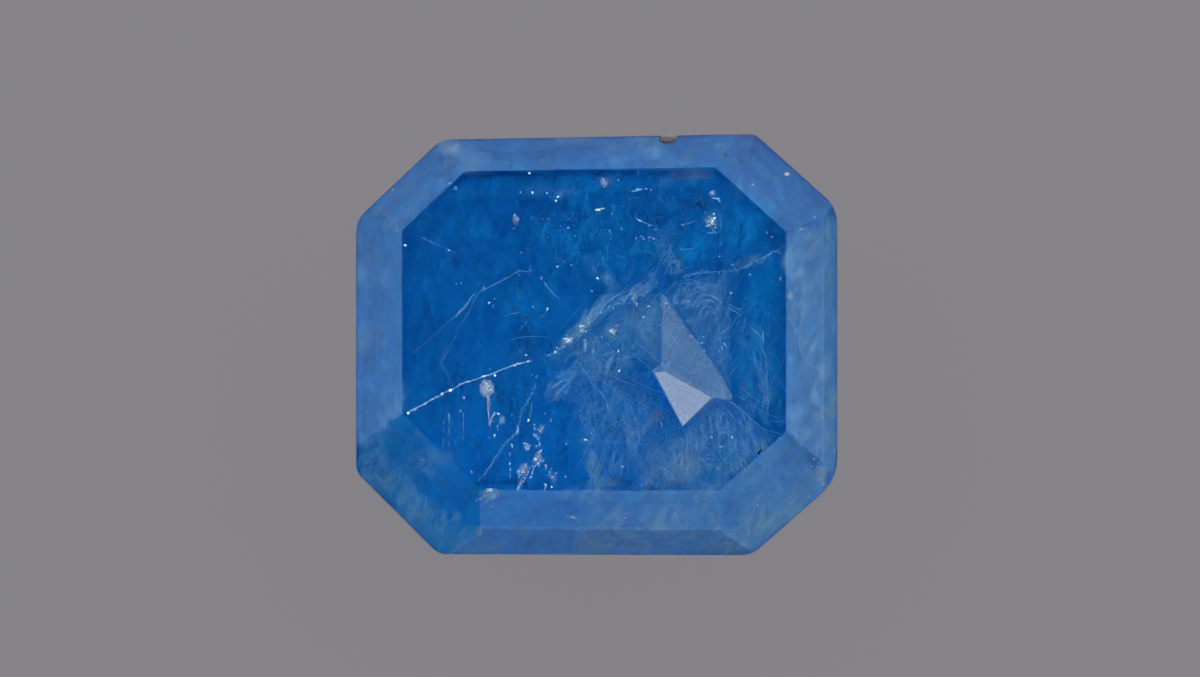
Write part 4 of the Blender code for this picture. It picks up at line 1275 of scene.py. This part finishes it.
def mottling():
    """Soft azure and deep blue patches, where the colour of the stone is uneven."""
    body = veil_material("deep_haze", (0.0, 0.32, 0.86), 0.30, (0.14, 0.30), 1.5, 84.0, 0.9, 0.8)
    azure = veil_material("azure_patch", (0.0, 0.50, 1.0), 0.20, (0.0, 0.30), 2.0, 86.0)
    deep = veil_material("deep_patch", (0.0, 0.12, 0.44), 0.22, (0.0, 0.40), 1.8, 82.0)
    piece = Piece("colour_patches", azure, deep, body)
    add_veil(piece, TABLE, 1.7, 0.0, 6.0, 0.05, 2, 1.0)
    add_veil(piece, BEHIND_THE_EDGE, 0.5, 9.0, 4.0, 0.02, 2, 1.0)
    for x, y, half_length, half_width, slot in TINTS:
        add_cloud(piece, x, y, half_length, half_width, 85.0, 1.2, 1.0, slot)
    for strength, feather, outline in AZURE_FIELDS:
        add_veil(piece, outline, 1.3, feather, 5.0, 0.2, 0, strength)
    for number in range(70):
        x, y = in_region(MOTTLED)
        if in_outline(x, y, KEPT_CLEAR):
            continue
        half_width = RNG.uniform(7, 18)
        half_length = half_width * RNG.uniform(1.1, 2.2)
        heading = RNG.gauss(86, 25)
        strength = RNG.uniform(0.4, 1.0)
        add_cloud(piece, x, y, half_length, half_width, heading, RNG.uniform(0.8, 2.6), strength, number % 2)
    piece.finish(smooth=True)


def stains():
    """Brown and olive iron stains, and deeper blue clouds."""
    brown = veil_material("brown_stain", (0.36, 0.40, 0.42), 0.24, (0.0, 0.28), 1.5, 100.0)
    deep = veil_material("deep_cloud", (0.0, 0.14, 0.42), 0.2, (0.05, 0.45), 2.0, 90.0)
    piece = Piece("stains", brown, deep)
    add_veil(piece, [(640, 418), (652, 405), (668, 406), (672, 424), (660, 434), (644, 434)], 0.9, 8.0, 3.0, 0.05, 0, 0.8)
    add_veil(piece, [(664, 452), (684, 444), (704, 452), (706, 476), (690, 500), (676, 492), (664, 474)], 0.9, 7.0, 3.0, 0.05, 0, 0.9)
    add_veil(piece, [(642, 436), (664, 434), (672, 452), (656, 470), (640, 456)], 1.0, 6.0, 3.0, 0.05, 0, 1.4)
    add_veil(piece, [(825, 396), (835, 396), (835, 458), (828, 461)], 0.1, 2.5, 2.5, 0.0, 1, 0.7)
    add_veil(piece, [(390, 461), (403, 474), (416, 482), (430, 495), (442, 511), (448, 505), (432, 487), (417, 473), (395, 456)], 0.1, 3.0, 2.5, 0.0, 0, 0.5)
    add_veil(piece, [(575, 318), (600, 298), (612, 288), (602, 303), (585, 320)], 0.8, 3.0, 2.5, 0.05)
    for x, y, wide, high in ((687, 185, 28, 18), (655, 217, 30, 22), (705, 206, 22, 16), (526, 181, 30, 12), (583, 184, 14, 10), (612, 480, 26, 10), (456, 260, 22, 16), (697, 205, 26, 14)):
        outline = [
            (x + 0.5 * wide * math.cos(math.tau * k / 10), y + 0.5 * high * math.sin(math.tau * k / 10)) for k in range(10)
        ]
        add_veil(piece, outline, 1.2, 0.3 * high, 3.0, 0.05, 1)
    piece.finish(smooth=True)


def skin_patch():
    """The rough's own dark skin, which fills the hollow in the back edge of the girdle."""
    skin = frosted_corundum("dark_skin", (0.010, 0.008, 0.013), (0.040, 0.030, 0.040), 0.03, 0.85)
    piece = Piece("rough_skin_patch", skin)
    points = []
    rings, spokes = 8, 16
    for ring in range(rings + 1):
        rise = math.pi * ring / rings
        for spoke in range(spokes):
            turn = math.tau * spoke / spokes
            way = Vector((math.cos(turn) * math.sin(rise), math.sin(turn) * math.sin(rise), math.cos(rise)))
            size = 0.92 + 0.16 * noise.noise(way * 2.5)
            points.append(SKIN_MIDDLE + Vector([part * radius * size for part, radius in zip(way, SKIN_RADII)]))
    faces = []
    for ring in range(rings):
        for spoke in range(spokes):
            near, far = ring * spokes, (ring + 1) * spokes
            following = (spoke + 1) % spokes
            faces.append((near + spoke, far + spoke, far + following, near + following))
    piece.add(points, faces)
    made = piece.finish(smooth=True)
    shape = bmesh.new()
    shape.from_mesh(made.data)
    bmesh.ops.remove_doubles(shape, verts=shape.verts, dist=1e-8)
    shape.to_mesh(made.data)
    shape.free()


# Surroundings


def floor():
    """Plain pale floor just under the culet, a panel that glows softly so that it has faint shadows."""
    half = 1.5
    mesh = bpy.data.meshes.new("floor")
    corners = [(-half, -half), (half, -half), (half, half), (-half, half)]
    mesh.from_pydata([(x, y, -0.00002) for x, y in corners], [], [(0, 1, 2, 3)])
    plane = bpy.data.objects.new("floor", mesh)
    bpy.context.scene.collection.objects.link(plane)
    material, _, _ = principled("floor", Base_Color=FLOOR_TONE, Roughness=0.9, Specular_IOR_Level=0.0, Emission_Color=FLOOR_GLOW,
                                Emission_Strength=1.0)
    mesh.materials.append(material)


def surroundings():
    """A soft light tent: bright round the sides and behind the stone, dim in front, dark at the lens."""
    world = bpy.data.worlds.new("tent")
    world.use_nodes = True
    world.cycles.sampling_method = "NONE"
    bpy.context.scene.world = world
    tree = world.node_tree
    place = tree.nodes.new("ShaderNodeTexCoord")
    split = tree.nodes.new("ShaderNodeSeparateXYZ")
    tree.links.new(place.outputs["Generated"], split.inputs["Vector"])
    ramps = []
    for stops in (FRONT_STOPS, BACK_STOPS):
        ramp = tree.nodes.new("ShaderNodeValToRGB")
        ramp.color_ramp.interpolation = "EASE"
        tree.links.new(split.outputs["Z"], ramp.inputs["Fac"])
        while len(ramp.color_ramp.elements) < len(stops):
            ramp.color_ramp.elements.new(0.5)
        for element, (position, level) in zip(ramp.color_ramp.elements, stops):
            element.position = position
            element.color = (*(level * part for part in LIGHT_TINT), 1.0)
        ramps.append(ramp)
    side = tree.nodes.new("ShaderNodeMapRange")
    side.interpolation_type = "SMOOTHSTEP"
    side.inputs["From Min"].default_value = -0.35
    side.inputs["From Max"].default_value = 0.10
    tree.links.new(split.outputs["Y"], side.inputs["Value"])
    mix = tree.nodes.new("ShaderNodeMix")
    mix.data_type = "RGBA"
    tree.links.new(side.outputs["Result"], mix.inputs["Factor"])
    tree.links.new(ramps[0].outputs["Color"], mix.inputs["A"])
    tree.links.new(ramps[1].outputs["Color"], mix.inputs["B"])
    toward_card = tree.nodes.new("ShaderNodeVectorMath")
    toward_card.operation = "DOT_PRODUCT"
    tree.links.new(place.outputs["Generated"], toward_card.inputs[0])
    toward_card.inputs[1].default_value = CARD
    card = levels(tree, toward_card.outputs["Value"], *CARD_EDGE)
    background = tree.nodes["Background"]
    lit = blend_colours(tree, card, mix.outputs["Result"], (CARD_LEVEL,) * 3)
    tree.links.new(lit, background.inputs["Color"])


def camera():
    """Straight above the table, as the photograph was taken."""
    data = bpy.data.cameras.new("camera")
    eye = bpy.data.objects.new("camera", data)
    bpy.context.scene.collection.objects.link(eye)
    bpy.context.scene.camera = eye
    eye.location = EYE * MM
    data.sensor_width = 36.0
    data.lens = data.sensor_width * CAMERA_DISTANCE / (FRAME_WIDTH * MM_PER_PIXEL)
    data.clip_start = 0.001
    data.clip_end = 10.0


def render_settings():
    """Plain colours, and enough bounces for light to find its way through the stone."""
    scene = bpy.context.scene
    scene.view_settings.view_transform = "Standard"
    scene.view_settings.look = "None"
    scene.cycles.max_bounces = 14
    scene.cycles.transmission_bounces = 14
    scene.cycles.glossy_bounces = 8
    scene.cycles.transparent_max_bounces = 48
    scene.cycles.use_denoising = True


stone, kinds = polished_stone()
TREE = stone_tree(stone)
# The facet beside the culet gets the pale window finish: painted light
stone.data.polygons[facet_behind(*WINDOW_MIDDLE)].material_index = kinds.index("window")
veils()
crown_milk_and_painted_light()
mottling()
stains()
skin_patch()
fractures()
shards()
crystals()
silk()
dust()
floor()
surroundings()
camera()
render_settings()
